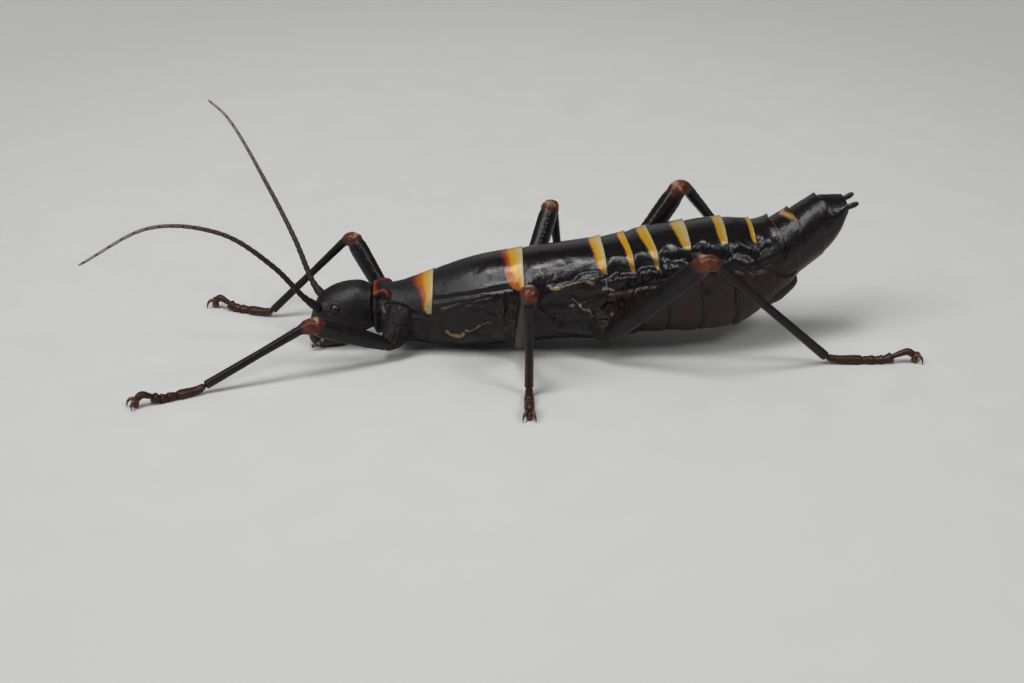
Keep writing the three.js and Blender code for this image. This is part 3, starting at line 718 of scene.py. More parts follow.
# Pale skin showing at edges: half width, strength, then x and z of each point.
PALE_EDGES = [
    (0.22, 1.1, -6.4, 2.75, -6.1, 2.45, -5.6, 2.3, -5.02, 2.3, -4.8, 2.6),
    (0.16, 1.1, -4.47, 3.03, -3.99, 2.93, -3.52, 3.16, -3.1, 3.5),
    (0.15, 0.75, -2.82, 3.8, -2.25, 3.94), (0.08, 0.55, -5.4, 0.95, -4.0, 1.05, -3.2, 1.3),
    (0.1, 0.7, -0.75, 5.4, -0.87, 4.7), (0.08, 0.7, -6.33, 6.29, -6.2, 6.3),
    (0.08, 0.5, -0.67, 6.53, -0.6, 6.53), (0.16, 1.15, 3.85, 7.53, 4.5, 7.56),
    (0.12, 0.8, 4.5, 7.56, 5.23, 7.79, 6.3, 8.12, 7.2, 8.27), (0.2, 0.9, 7.3, 8.2, 7.85, 8.15),
    (0.13, 1.05, 8.71, 7.59, 9.29, 7.66, 9.81, 7.42), (0.1, 0.75, 5.8, 6.57, 6.58, 5.92),
    (0.17, 0.85, 6.58, 5.92, 7.0, 5.5, 7.5, 5.5), (0.1, 0.7, 7.58, 5.5, 7.78, 4.93, 8.28, 4.87),
    (0.09, 0.85, 8.95, 4.1, 9.05, 3.4), (0.2, 0.6, -12.95, 5.5, -12.6, 5.0),
    (0.06, 1.1, -12.26, 5.02, -12.2, 5.0), (0.3, 0.66, -12.75, 4.9, -12.5, 4.3, -12.35, 3.8),
    (0.09, 0.65, -11.9, 4.2, -11.4, 4.2, -10.95, 4.5), (0.05, 0.6, 17.2, 7.9, 17.6, 7.8),
]


def trunk_places():
    """Places of the skin's rows along the rings, with a close pair at each step."""
    edges = [0, *(plate[0] for plate in PLATES), LAST_RING]
    places = []
    for start, end in zip(edges, edges[1:]):
        line = ring_surface(BODY_RINGS, np.linspace(start, end, 30), math.pi / 2)
        length = np.linalg.norm(np.diff(line, axis=0), axis=1).sum()
        first = start + STEP_PLACE * (start > 0)
        places += list(np.linspace(first, end, max(int(length / ROW_STEP), 4)))
    return np.array(places)


def swept_surface(place, angle):
    """The plain skin, with the plates' rear edges swept back along the flanks."""
    down = degrees_down(angle)
    back = smooth(BACK_SWEEP, place) * span(down, 0, 60, 72, 100)
    moved = np.clip(place + back, 0, LAST_RING)
    return ring_surface(BODY_RINGS, moved, angle, 1 - 0.06 * hump(down, 100, 17)), moved


def plate_relief(place, down, points):
    """Steps behind the back plates and their bands: heights and the band values."""
    height, red = np.zeros((2, *down.shape))
    band, cream = np.full(down.shape, NO_BAND), np.full(down.shape, 0.1)
    run = np.linalg.norm(np.diff(points, axis=0, prepend=points[:1]), axis=-1).cumsum(axis=0)
    rows, start = place[:, 0], 0
    on_back = 1 - rise(down, 78, 96) * 0.8
    for ring, step, *widths, end, red_top, red_low, cream_top, cream_low in PLATES:
        gap = run[np.argmin(np.abs(rows - ring))] - run
        inside, behind = (rows > start) & (rows <= ring + 1e-6), rows > ring + 1e-6
        height[inside] += (step * np.exp(-gap / 0.6) * on_back)[inside]
        height[behind] -= (step * np.exp(gap / 0.8) * on_back)[behind]
        if max(widths) > 0:
            width = smooth(widths, np.clip(down / 20, 0, 3))
            width = width * np.sqrt(np.clip(1 - (down / end) ** 10, 1e-4, 1))
            here = gap / np.maximum(width, 1e-3) + NO_BAND * rise(down, end - 1.5, end + 1)
            if ring == ASKEW_PLATE:
                here = (np.abs(gap - 0.8 + down / 55) / 0.34
                        + NO_BAND * rise(down, end - 4, end + 3))
            low = rise(down, 0.6 * end, 0.9 * end)
            band[inside] = np.clip(here, 0, NO_BAND)[inside]
            red[inside] = (red_top + (red_low - red_top) * low)[inside]
            cream[inside] = (cream_top + (cream_low - cream_top) * low)[inside]
        start = ring
    return height, band, red, cream


def flank_relief(points, down):
    """Ridges, folds and side plates on both flanks of the thorax, and pale edges."""
    wander = np.stack([rough(points, 1.1, 2, 61.0), rough(points, 1.1, 2, 62.0)], -1)
    side_view = points[..., [0, 2]] + 0.1 * wander
    height, pale = np.zeros((2, *down.shape))
    for width, amount, *path in FLANK_FOLDS:
        distance = path_distance(side_view, np.reshape(path, (-1, 2)))
        height += 0.85 * amount * hump(distance, 0, 1.25 * width)
    for x, z, length, tall, tilt, amount in FLANK_OVALS:
        cos, sin = math.cos(math.radians(tilt)), math.sin(math.radians(tilt))
        right, up = side_view[..., 0] - x, side_view[..., 1] - z
        reach = np.hypot((right * cos + up * sin) / length, (up * cos - right * sin) / tall)
        height += amount * fall(reach, 0.55, 1.05)
        if amount > 0:
            height -= 0.6 * amount * hump(reach, 1.08, 0.1)
    for width, amount, *path in PALE_EDGES:
        distance = path_distance(side_view, np.reshape(path, (-1, 2)))
        pale = np.maximum(pale, amount * hump(distance, 0, 1.25 * width))
    flank = span(down, 42, 56, 150, 165)
    return height * flank, pale * flank


def belly_seams(moved, down):
    """Distance in mm, along the body, from the nearest seam between belly plates."""
    nearest = np.full(down.shape, 9.0)
    for ring in range(7, 13):
        off = moved - (ring - 0.52 + 0.3 * rise(down, 78, 132))
        nearest = np.where(np.abs(off) < np.abs(nearest), off, nearest)
    return nearest * RING_SPACING


def flank_edge(place):
    """Degrees down the flank where the black folds end and the belly plates start."""
    return np.interp(place, [8, 10, 11.2, 12, 12.8], [77.5, 70, 73, 80, 92])


def scoop_wall(place, down):
    """How much a point lies on the scoop's side wall, and on its upper edge."""
    edge = np.interp(place, [10.6, 11.3, 12.0, 12.5, 12.7], [74, 80, 96, 118, 126])
    there = span(place, 10.75, 10.95, 12.75, 12.95)
    return there * rise(down, edge - 1.2, edge + 1.2), there * hump(down, edge - 2.2, 1.3)


# Bulges between the folds of each abdomen plate: share along the plate, degrees
# down, half length, half width in degrees, height.
ABDOMEN_BULGES = [(0.22, 61, 0.22, 8.0, 0.26), (0.68, 65, 0.28, 8.5, 0.32)]


def abdomen_relief(place, moved, down, points, shape):
    """The shining ridge, the folds, side lobes and seams along the abdomen, and painted shade."""
    share = place - np.floor(place)
    lumps, wander, creases, fine = (rough(points, size, 1, seed) for size, seed in
                                    ((1.9, 2.0), (1.2, 7.0), (0.7, 5.0), (0.45, 6.0)))
    tail_part = rise(place, 9.3, 10.2)
    edge = flank_edge(place)
    level = down + 6 * lumps
    ridge_at = 39 + 6 * fall(share, 0.0, 0.36) + 3 * share + 6 * share**3
    lumpy = 1 - 0.4 * tail_part + 0.35 * creases
    height = 1.2 * shape.ridge / MM * hump(level, ridge_at, 9.0) * lumpy
    height -= shape.groove / MM * hump(level, ridge_at + 14, 5.5) * (1 - 0.5 * tail_part)
    for at, middle, wide, tall, raised in ABDOMEN_BULGES:
        reach = np.hypot((share - at + 0.2 * wander) / wide,
                         (down + 9 * lumps + 5 * wander - middle) / tall)
        height += raised * (1 - 0.6 * tail_part) * fall(reach, 0.15, 1.35)
    height -= 0.2 * hump(down, edge, 3.5)
    height += (0.015 + 0.05 * tail_part) * hump(down, 58, 12) * creases
    height += 0.03 * hump(down, 52, 16) * fine
    # Belly plates: each overlaps the next, and bears a pit near its front edge.
    gap = belly_seams(moved, down)
    under = rise(down, edge + 2.5, edge + 10) * (1 - scoop_wall(place, down)[0])
    deep = shape.belly_seam / MM
    height -= under * deep * (hump(gap, 0, 0.14) + np.where(gap > 0, 0.7 * np.exp(-gap / 0.8), 0))
    height += under * np.where(gap < 0, 0.4 * deep * np.exp(gap / 0.8), 0)
    pit = np.hypot(gap - 0.55, (down - 91) / 11.5)
    height += 0.05 * hump(pit, 0.5, 0.15) - 0.2 * hump(pit, 0, 0.3) + 0.03 * under * creases
    # Painted shade: darker along the belly seams, in the hollow under the ridge and in the belly
    # pits.
    seam = (under * hump(gap, 0.04, 0.1) + 0.6 * hump(down, ridge_at + 8, 4)
            + 1.3 * hump(pit, 0, 0.55))
    here = span(place, 5.5, 6.15, 11.2, 12.1)
    return height * here, np.clip(seam * here, 0, 0.85)


def thorax_wrinkles(place, down, points):
    """Glossy wrinkles under the edge of the metanotum, and lumpy skin lower down."""
    fine, coarse, broad = (rough(points, size, octaves, seed) for size, octaves, seed in
                           ((0.8, 2, 9.0), (1.3, 3, 11.0), (2.2, 2, 13.0)))
    under_edge = hump(place, 4.5, 0.5) * hump(down, 55, 8)
    low = rise(down, 66, 90) * fall(place, 5.8, 6.6) * fall(down, 150, 170)
    shoulder = hump(down, 45, 16) * span(place, 1.9, 2.4, 5.6, 6.0)
    return (0.07 * fine * under_edge + (0.09 * coarse + 0.04 * fine) * low
            + (0.1 * broad + 0.03 * coarse) * shoulder)


def gland_relief(place, angle, points, shape):
    """Raised rims round each scent gland's pit and the collar, and painted shade in each pit."""
    height, pit = np.zeros((2, *angle.shape))
    distance = np.full(angle.shape, 9.0)
    for side in SIDES.values():
        middle = ring_surface(BODY_RINGS, np.array(GLAND_PLACE), np.array(side * GLAND_ANGLE))
        here = np.linalg.norm(points - middle, axis=-1)
        upper = 0.1 + 0.9 * rise(points[..., 2], middle[2] - 0.3, middle[2] + 0.2)
        rim = (shape.gland / MM * hump(here, GLAND_RADIUS, 0.2)
               + 0.24 * fall(here, GLAND_RADIUS, 1.1))
        height += rim * upper - 0.3 * hump(here, 0.08, 0.3)
        distance = np.minimum(distance, np.abs(here - GLAND_RADIUS) + 0.5 * (1 - upper))
        # Painted shade fills each pit, fainter on its lower side.
        pit = np.maximum(pit, (0.4 + 0.6 * upper) * fall(here, 0.2, 0.42))
    height += 0.2 * hump(place, 0.1, 0.09)
    height -= 0.16 * hump(place, 0.3, 0.07) * (1 - hump(distance, 0, 0.4))
    return height, distance, pit


def socket_relief(points):
    """A swollen ring of skin round the root of each leg."""
    height = 0
    for sizes in PAIRS.values():
        x, reach, z = sizes["hip"]
        for side in SIDES.values():
            distance = np.linalg.norm(points - centre_of((x, reach + 1.0, z - 0.5), side), axis=-1)
            height += 0.3 * fall(distance, 1.3, 2.7)
    return height


class INSECT_OT_trunk(bpy.types.Operator):
    """Adds the skin of the thorax and abdomen, in one piece"""
    bl_idname = "insect.trunk"
    bl_label = "Trunk"

    def execute(self, context):
        shape = context.scene.insect_shape
        turn = turns(TRUNK_COLUMNS)
        turn = turn + 0.17 * np.sin(2 * turn)  # columns lie closer together on the flanks
        place, angle = np.meshgrid(trunk_places(), turn, indexing="ij")
        down = degrees_down(angle)
        plain, moved = swept_surface(place, angle)
        height, band, red, cream = plate_relief(place, down, plain)
        flank, pale = flank_relief(plain, down)
        folds, crease = abdomen_relief(place, moved, down, plain, shape)
        glands, rim, pit = gland_relief(place, angle, plain, shape)
        wall, wall_edge = scoop_wall(place, down)
        height += flank + folds + glands + socket_relief(plain)
        height += thorax_wrinkles(place, down, plain) + 0.16 * wall - 0.1 * wall_edge
        height += shape.grain / MM * rough(plain, 0.6, 3, 17.0)

        # The collar and the upper half of each gland's rim are red.
        collar = np.abs(place - 0.09) / 0.12 + NO_BAND * rise(down, 44, 50)
        rims = np.minimum(0.86 + 0.14 * np.minimum(collar, rim / 0.24), NO_BAND)
        band = np.where(place < 0.9, rims, band)
        red = np.where(place < 0.9, 1.0 - 0.75 * rise(down, 22, 42) * (place < 0.24), red)
        banded = band < 1.1
        edge = flank_edge(place)
        belly = (rise(down, edge - 6, edge + 5) * rise(place, 5.6, 6.4)
                 * (1 - 0.7 * rise(place, 12.4, 13.0)))
        rear = span(place, 12.75, 12.95, 14.3, 14.6)
        pale = np.maximum(pale, 0.55 * rear * rise(down, 146, 156))
        flecks = rise(rough(plain, 0.45, 3, 19.0), 0.1, 0.6) * span(down, 62, 74, 128, 140)
        rust = np.where(banded & (place > 3),
                        np.maximum(0.95 * rise(down, 32, 44), 0.8 * (place > 11.5)),
                        rear * hump(down, 142, 8) * 0.3)
        rust = np.maximum(rust, 0.06 * flecks * fall(place, 6.4, 7.0))
        dull = np.interp(place, [0, 2, 3, 4, 5, 6, 12, 13, 16],
                         [0.6, 0.5, 0.3, 0.15, 0.05, 0.08, 0.2, 0.35, 0.4])
        dull = np.maximum.reduce([
            dull, 0.8 * belly, 0.5 * rise(down, 70, 85), 1.5 * pit,
            0.9 * rise(down, 45, 60) * (place < 2),
            0.4 * rise(down, 34, 44) * rise(place, 4.0, 5.0)])
        # The bands are darker towards the tail, low on the foremost bands and down the askew mark.
        dim = np.interp(place, [6.0, 8, 11.0, 11.1, 12.0, 12.1, 13],
                        [0, 0.12, 0.22, 0.55, 0.55, 0.3, 0.3])
        dim = np.maximum(dim, 0.3 * rise(down, 56, 70) * (place < 3))
        dim = dim + 0.4 * rise(down, 18, 42) * (place > 12.05)
        # Painted shade under the scoop's upper edge and in the gland pits joins that of the
        # abdomen, with the darker bands.
        crease = np.maximum.reduce([crease, 0.7 * wall_edge, pit, dim * banded])
        values = dict(band=band, band_red=red, band_cream=cream, belly=belly, pale=pale,
                      crease=crease, rust=rust, dull=dull, satin=0.7 * fall(place, 2.6, 3.2))

        skin = round_end(lift(plain, height), 0.25)
        skin = round_end(skin[::-1], -0.4)[::-1]
        added = ((END_ROWS, END_ROWS), (0, 0))
        values = {name: np.pad(value, added, "edge") for name, value in values.items()}
        nodes = ["prothorax", "mesothorax", "metathorax", *(f"abdomen_{n}" for n in range(2, 11))]
        add_piece("trunk", waxed_black_cuticle, "back_cuticle", nodes, (skin, values))
        return {"FINISHED"}


# ---- Head ----

# Lines by each eye: both ends, measured from the eye (x, outwards, z), then half width,
# height and paleness. A groove in the cheek, the brow, and a mark behind the eye.
EYE_MARKS = [
    ((0.9, 0.3, -0.5), (2.6, 0.5, -1.6), 0.12, -0.05, 0.0),
    ((-0.5, -0.3, 0.75), (0.6, -0.1, 0.95), 0.13, 0.0, 0.62),
    ((-0.9, 0, -0.6), (-1.5, -0.4, -0.7), 0.12, 0.0, 0.62),
]
FACE_SEAM = [(-19.9, -1.2, 2.5), (-19.9, 1.6, 2.5)]
JAW_X, JAW_Z, JAW_SLOPE = -18.3, 1.7, 0.28  # a place on the jaw line; its slope in radians
HEAD_ROWS, HEAD_COLUMNS = 190, 200


class INSECT_OT_head(bpy.types.Operator):
    """Adds the head capsule, with the swellings round the feelers' roots"""
    bl_idname = "insect.head"
    bl_label = "Head"

    def execute(self, context):
        along, angle = np.meshgrid(np.linspace(0, 0.985, HEAD_ROWS), turns(HEAD_COLUMNS),
                                   indexing="ij")
        place = (len(HEAD_RINGS) - 1) * np.sin(along * math.pi / 2)
        plain = ring_surface(HEAD_RINGS, place, angle,
                             taper=1 + 0.12 * np.minimum(np.cos(angle), 0))
        down, front = degrees_down(angle), plain[..., 0]
        height = -0.05 * hump(down, 0, 2.2) * fall(along, 0.5, 0.7)
        height -= 0.1 * fall(along, 0.02, 0.12)
        height += 0.012 * rough(plain, 0.7, 3, 21.0) + 0.04 * rough(plain, 1.6, 2, 23.0) - 0.02
        pale = np.zeros(along.shape)
        for side in SIDES.values():
            eye = centre_of(EYE_AT, side)
            height -= 0.03 * hump(np.linalg.norm(plain - eye, axis=-1), 0.66, 0.14)
            for start, end, width, raised, paleness in EYE_MARKS:
                mark = hump(path_distance(plain, [eye + np.multiply(end_at, (1, side, 1))
                                                  for end_at in (start, end)]), 0, width)
                height += raised * mark
                pale = np.maximum(pale, paleness * mark)
        for spot in SOCKETS:
            height += 0.24 * hump(np.linalg.norm(plain - np.array(spot), axis=-1), 0.5, 0.28)
        seam = path_distance(plain, FACE_SEAM)
        height -= 0.14 * hump(seam, 0, 0.16)
        pale = np.maximum(pale, 0.5 * hump(seam, 0, 0.1) * rise(-front, 19.2, 19.6))
        jaw_line = plain[..., 2] - (JAW_Z - (front - JAW_X) * math.tan(JAW_SLOPE))
        height -= 0.12 * hump(jaw_line, 0, 0.14) * rise(down, 80, 100)
        # Painted shade along the groove of the jaw line.
        crease = 0.8 * hump(jaw_line, 0, 0.1) * rise(down, 80, 100)
        dull = 0.4 + 0.3 * rise(down, 60, 85) + 0.2 * rise(-front, 16.8, 18.5)
        values = dict(dull=dull, satin=0.6, band=NO_BAND, band_cream=0.1, pale=pale,
                      crease=crease, belly=0.3 * fall(jaw_line, -0.2, 0.4))
        add_piece("head_capsule", waxed_black_cuticle, "back_cuticle", ["head"],
                  (lift(plain, height), values))
        return {"FINISHED"}


# The palps on each side: root, bend and tip (x, outwards, z), then the radius.
PALPS = [((-18.4, 1.55, 1.5), (-19.2, 2.05, 0.6), (-19.9, 1.7, 0.42), 0.24),
         ((-18.0, 1.1, 0.75), (-18.6, 1.45, 0.3), (-19.1, 1.05, 0.24), 0.17)]
PALP_ROWS, PALP_COLUMNS = 64, 18


class INSECT_OT_mouthparts(bpy.types.Operator):
    """Adds the lip, the jaws, the under-lip and the jointed palps"""
    bl_idname = "insect.mouthparts"
    bl_label = "Mouthparts"

    def execute(self, context):
        share = np.linspace(0, 1, PALP_ROWS)
        beads = 1 - 0.28 * np.abs(np.cos(share * math.pi * 4)) ** 6
        ends = np.sqrt(np.clip(1 - (2 * share - 1) ** 12, 0.02, 1))
        palp_values = dict(pale=(1 - beads)[:, None] * 4)
        middle = bend_y(-19.5)
        # Upper lip: a rounded flap that hangs from the face.
        shells = [(ball((-19.95, middle, 1.55), (0.42, 0.95, 0.8)), dict(pale=0.35))]
        for side in SIDES.values():
            # Jaws: heavy rounded wedges that close under the lip. Then the inner lobes.
            jaw = ball((-19.35, middle + side * 0.75, 1.15), (0.85, 0.62, 0.85))
            lobe = ball((-18.7, middle + side * 0.8, 0.72), (1.3, 0.6, 0.6))
            shells += [(jaw, dict(pale=0.2)), (lobe, dict(pale=0.25))]
            for *corners, thick in PALPS:
                line = bezier(*((x, middle + side * y, z) for x, y, z in corners), steps=PALP_ROWS)
                palp = tube(line, thick * beads * ends * (1 - 0.2 * share), PALP_COLUMNS)
                shells.append((palp, palp_values))
        # Under-lip: the floor of the mouth.
        under_lip = ball((-17.9, bend_y(-18), 0.75), (1.7, 1.3, 0.72), 40, 44)
        add_piece("jaws_and_palps", bristly_mouth_cuticle, "belly_cuticle", ["mouthparts"],
                  *shells, (under_lip, dict(pale=0.15)))
        return {"FINISHED"}


class INSECT_OT_eyes(bpy.types.Operator):
    """Adds the two compound eyes"""
    bl_idname = "insect.eyes"
    bl_label = "Eyes"

    def execute(self, context):
        radius = context.scene.insect_shape.eye / MM
        for name, side in SIDES.items():
            eye = ball(centre_of(EYE_AT, side), (radius * 0.98, radius, radius * 0.94), 40, 48)
            add_piece(f"compound_eye_{name}", compound_eye, "eye_lens", [f"eye_{name}"], (eye, {}))
        return {"FINISHED"}


# ---- Feelers and tail ----

FEELER_ROWS, FEELER_COLUMNS = 620, 16
ROOT_JOINT, SECOND_JOINT = 0.07, 0.095  # where the first two joints end, as shares


class INSECT_OT_feelers(bpy.types.Operator):
    """Adds the two jointed feelers"""
    bl_idname = "insect.feelers"
    bl_label = "Feelers"

    def execute(self, context):
        tip = context.scene.insect_shape.feeler_tip / MM
        share = np.linspace(0, 1, FEELER_ROWS)
        # Joints: a stout root joint, a short second one, then ever longer beads.
        joints = [0.0, ROOT_JOINT, SECOND_JOINT]
        while joints[-1] < 0.999:
            joints.append(joints[-1] + 0.021 + 0.028 * joints[-1])
        joints = np.array(joints)
        which = np.clip(np.searchsorted(joints, share, side="right") - 1, 0, len(joints) - 2)
        within = (share - joints[which]) / (joints[which + 1] - joints[which])
        stem = np.interp(share, [0, 0.055, 0.07, 0.1, 0.3, 0.6, 1.0],
                         [0.43, 0.4, 0.34, 0.27, 0.24, 0.19, tip])
        bead = 0.86 + 0.2 * np.sin(np.pi * np.clip(within, 0, 1)) ** 0.6 + 0.05 * within
        root = 0.8 + 0.25 * np.sin(np.pi * np.clip(within * 0.94, 0, 1)) ** 0.5
        bead = np.where(share < ROOT_JOINT, root, bead)
        end = rounded((share - 0.985) / 0.015, 0.05)
        joint = np.clip(hump(within, 0, 0.12) + hump(within, 1, 0.12), 0, 1) * 0.8
        for side in SIDES:
            grid = tube(curve_through(FEELERS[side], FEELER_ROWS), stem * bead * end,
                        FEELER_COLUMNS)
            nodes = [f"antenna_{side}_{part}"
                     for part in ("scape", "flagellum_lower", "flagellum_upper")]
            add_piece(f"antenna_{side}", downy_feeler_cuticle, "feeler_cuticle", nodes,
                      (grid, dict(along=share[:, None], joint=joint[:, None])))
        return {"FINISHED"}


PRONG_ENDS = ((32.2, 1.25, 13.85), (33.9, 1.55, 14.62))  # root and tip: x, outwards, z
SCOOP_FROM, SCOOP_TO = 24.9, 28.45  # x where the free end of the scoop starts and ends
SCOOP_ROWS, SCOOP_COLUMNS = 70, 90


class INSECT_OT_tail(bpy.types.Operator):
    """Adds the tail prongs and the scoop under the tail"""
    bl_idname = "insect.tail"
    bl_label = "Tail prongs and scoop"

    def execute(self, context):
        values = dict(band=NO_BAND, band_cream=0.1, dull=0.6)
        thick = np.interp(np.linspace(0, 1, CURVE_STEPS), [0, 0.35, 0.75, 0.93, 1],
                          [0.2, 0.27, 0.29, 0.2, 0.06])
        for name, side in SIDES.items():
            root, tip = (np.array([x, bend_y(32.5) + side * wide, z])
                         for x, wide, z in PRONG_ENDS)
            line = bezier(root, (root + tip) / 2 + (0.1, 0, -0.08), tip)
            add_piece(f"tail_prong_{name}", waxed_black_cuticle, "back_cuticle",
                      [f"cercus_{name}"], (tube(line, thick, 20, flat=0.75), values))
        along, angle = np.meshgrid(np.linspace(0, 0.995, SCOOP_ROWS), turns(SCOOP_COLUMNS),
                                   indexing="ij")
        taper = np.sqrt(1 - 0.97 * along**2)
        x = SCOOP_FROM + (SCOOP_TO - SCOOP_FROM) * along
        up, across = np.cos(angle), np.sin(angle)
        keel = 0.12 * hump(np.abs(angle), math.pi, 0.25) * (1 - along)
        deep = np.where(up > 0, 1.45, 1.1) * taper
        grid = np.stack([x - 0.275 * up * taper,
                         bend_y(x) - across * (2.25 - 0.35 * along) * taper,
                         4.95 + 1.45 * along**1.4 + up * deep - keel], axis=-1)
        grid = lift(grid, 0.03 * rough(grid, 0.8, 3, 31.0))
        values.update(dull=1.0, belly=0.95, pale=0.2 * rise(along, 0.9, 1.0))
        add_piece("tail_scoop", waxed_black_cuticle, "belly_cuticle", ["operculum"],
                  (grid, values))
        return {"FINISHED"}


# ---- Legs ----

LEG_COLUMNS, HIP_COLUMNS = 32, 72
HIP_ROWS, THIGH_ROWS, ELBOW_ROWS, SHIN_ROWS = 60, 150, 30, 100


def leg_joints(pair, side):
    """The joints of one leg, from the hip down to the ankle, and the foot's heading."""
    sizes, sign = PAIRS[pair], SIDES[side]
    (heading, pitch), ankle, foot = LEGS[pair, side]
    heading, pitch = math.radians(heading), math.radians(pitch)
    reach = np.array([math.cos(pitch) * math.cos(heading), math.cos(pitch) * math.sin(heading),
                      math.sin(pitch)])
    hip, turn = centre_of(sizes["hip"], sign), centre_of(sizes["turn"], sign)
    knee = turn + reach * sizes["femur"]
    return hip, turn, knee, np.array([*ankle, ANKLE_HEIGHT]), math.radians(foot)


def ridged(share, angle, amount, seed):
    """Four long ridges with fine teeth, as a share of the limb's radius."""
    ridges = sum(hump(np.degrees(angle), middle, 13) for middle in (-142, -38, 38, 142))
    teeth = 1 + 0.25 * np.sin(share * 150 + seed)
    return 1 + amount * (ridges * teeth - 0.35)


def hip_shell(sizes, hip, turn):
    """A creased cone, broad where it leaves the body, with pale skin in its folds."""
    share = np.linspace(0, 1, HIP_ROWS)
    line = np.linspace(hip + (0, 0, sizes["hip_rise"]), turn + (turn - hip) * 0.12, HIP_ROWS)
    swell = np.interp(share, [0, 0.35, 0.6, 0.8, 0.92, 1], [1.5, 1.42, 1.22, 1.02, 0.8, 0.3])
    grid = tube(line, swell * sizes["hip_size"], HIP_COLUMNS)
    folds = rough(grid * (0.8, 1, 1), 1.5, 2, 41.0)
    lumps = rough(grid, 0.42, 3, 42.0)
    grid = lift(grid, 0.3 * folds - 0.1 * hump(folds, 0.0, 0.08) + 0.07 * lumps)
    pale = 0.6 * hump(folds, -0.02, 0.07) * rise(rough(grid, 0.9, 2, 43.0), 0.15, 0.4)
    return grid, dict(dull=1.0, skin=np.maximum(pale, 0.42 * rise(lumps, 0.05, 0.5)),
                      edge=0.4 * hump(share, 0.86, 0.05)[:, None])


def thigh_shell(sizes, turn, knee, ridge):
    """A stout ridged tube whose far end opens underneath, between two side lobes."""
    share, angle = np.linspace(0, 1, THIGH_ROWS), turns(LEG_COLUMNS)
    along, down = share[:, None], degrees_down(angle)
    base, thick, flat = sizes["thigh"]
    depth = np.interp(share, [0, 0.06, 0.3, 0.8, 0.9, 1.0],
                      [base * 0.92, base * 0.98, (base + thick) * 0.53, thick, thick * 0.96, thick])
    depth = (depth * rounded((share - 0.93) / 0.075, 0.02) * rounded((0.04 - share) / 0.042, 0.05)
             * (1 - 0.08 * hump(share, 0.075, 0.012) - 0.05 * hump(share, 0.9, 0.02)))
    slot = hump(down, 180, 38) * rise(along, 0.88, 0.97)
    relief = ridged(along, angle, ridge, 0.0) - 1
    relief = 1 + relief * span(along, 0.08, 0.2, 0.84, 0.93) - 0.3 * slot
    grid = tube(np.linspace(turn, knee, THIGH_ROWS), depth, LEG_COLUMNS, relief, flat)
    grid = lift(grid, 0.015 * rough(grid, 0.5, 2, 47.0))
    patches = 0.5 * rise(rough(grid, 0.7, 2, 48.0), 0.0, 0.3)
    joint_skin = np.clip(0.72 * hump(np.degrees(angle), 0, 78) + patches, 0, 0.85)
    return grid, dict(knee=rise(along, 0.81, 0.98) * (1 - slot),
                      skin=rise(along, 0.915, 0.965) * joint_skin,
                      edge=0.42 * hump(down, 142, 9) * fall(along, 0.7, 0.9))


def shin_shell(sizes, turn, knee, ankle, ridge):
    """A ridged tube that leaves the femur's open end in an elbow, one mass with the knee."""
    thick, (knee_r, ankle_r) = sizes["thigh"][1], sizes["shin"]
    share, angle = np.linspace(0, 1, ELBOW_ROWS + SHIN_ROWS), turns(LEG_COLUMNS)
    along, down = share[:, None], degrees_down(angle)
    width = np.interp(share, [0, 0.07, 0.12, 0.17, 0.5, 0.92, 1],
                      [thick * 0.78, thick * 0.8, thick * 0.72, knee_r, ankle_r, ankle_r * 1.08,
                       ankle_r * 1.12])
    out, elbow_end = unit(knee - turn), knee + unit(ankle - knee) * 1.9 * thick
    elbow = bezier(knee - out * 0.9 * thick, knee + out * 0.1 * thick, elbow_end,
                   steps=ELBOW_ROWS)
    line = np.concatenate([elbow, np.linspace(elbow_end, ankle, SHIN_ROWS + 1)[1:]])
    grid = tube(line, width * rounded((share - 0.985) / 0.015, 0.15), LEG_COLUMNS,
                ridged(along, angle, ridge * 1.2, 2.0))
    red = fall(along, 0.12, 0.2)
    patches = 0.8 * rise(rough(grid, 0.7, 2, 49.0), 0.0, 0.3)
    joint_skin = np.clip(hump(np.degrees(angle), 0, 60) + patches, 0, 1)
    lines = (hump(down, 142, 17) * 0.6 + 0.25 * hump(down, 38, 9)) * (1 - 0.6 * red)
    return grid, dict(knee=0.95 * red, skin=0.45 * joint_skin * hump(along, 0.06, 0.03),
                      foot=0.45 * rise(along, 0.6, 1.0), edge=lines * (0.6 + 0.4 * along))


class INSECT_OT_legs(bpy.types.Operator):
    """Adds the six legs, each from its hip to its ankle"""
    bl_idname = "insect.legs"
    bl_label = "Legs"

    def execute(self, context):
        ridge = context.scene.insect_shape.leg_ridge
        for pair, side in LEGS:
            sizes, (hip, turn, knee, ankle, _) = PAIRS[pair], leg_joints(pair, side)
            name = f"leg_{side}_{pair}"
            nodes = [f"{name}_{part}" for part in ("coxa", "femur", "tibia")]
            add_piece(name, satin_leg_cuticle, "leg_cuticle", nodes, hip_shell(sizes, hip, turn),
                      thigh_shell(sizes, turn, knee, ridge),
                      shin_shell(sizes, turn, knee, ankle, ridge))
        return {"FINISHED"}


FOOT_ROWS = 300
FLOOR_GAP = 0.004  # soles and pads are pressed flat this far above the floor, mm


def foot_route(pair, side):
    """The middle line of a foot, the way it points, and its last joint."""
    *_, ankle, heading = leg_joints(pair, side)
    outward = np.array([math.cos(heading), math.sin(heading), 0.0])
    joints = [(ankle + outward * share * PAIRS[pair]["foot"]) * (1, 1, 0) + (0, 0, height)
              for share, height in FOOT_LINE]
    return curve_through(joints, FOOT_ROWS), outward, joints[-1]


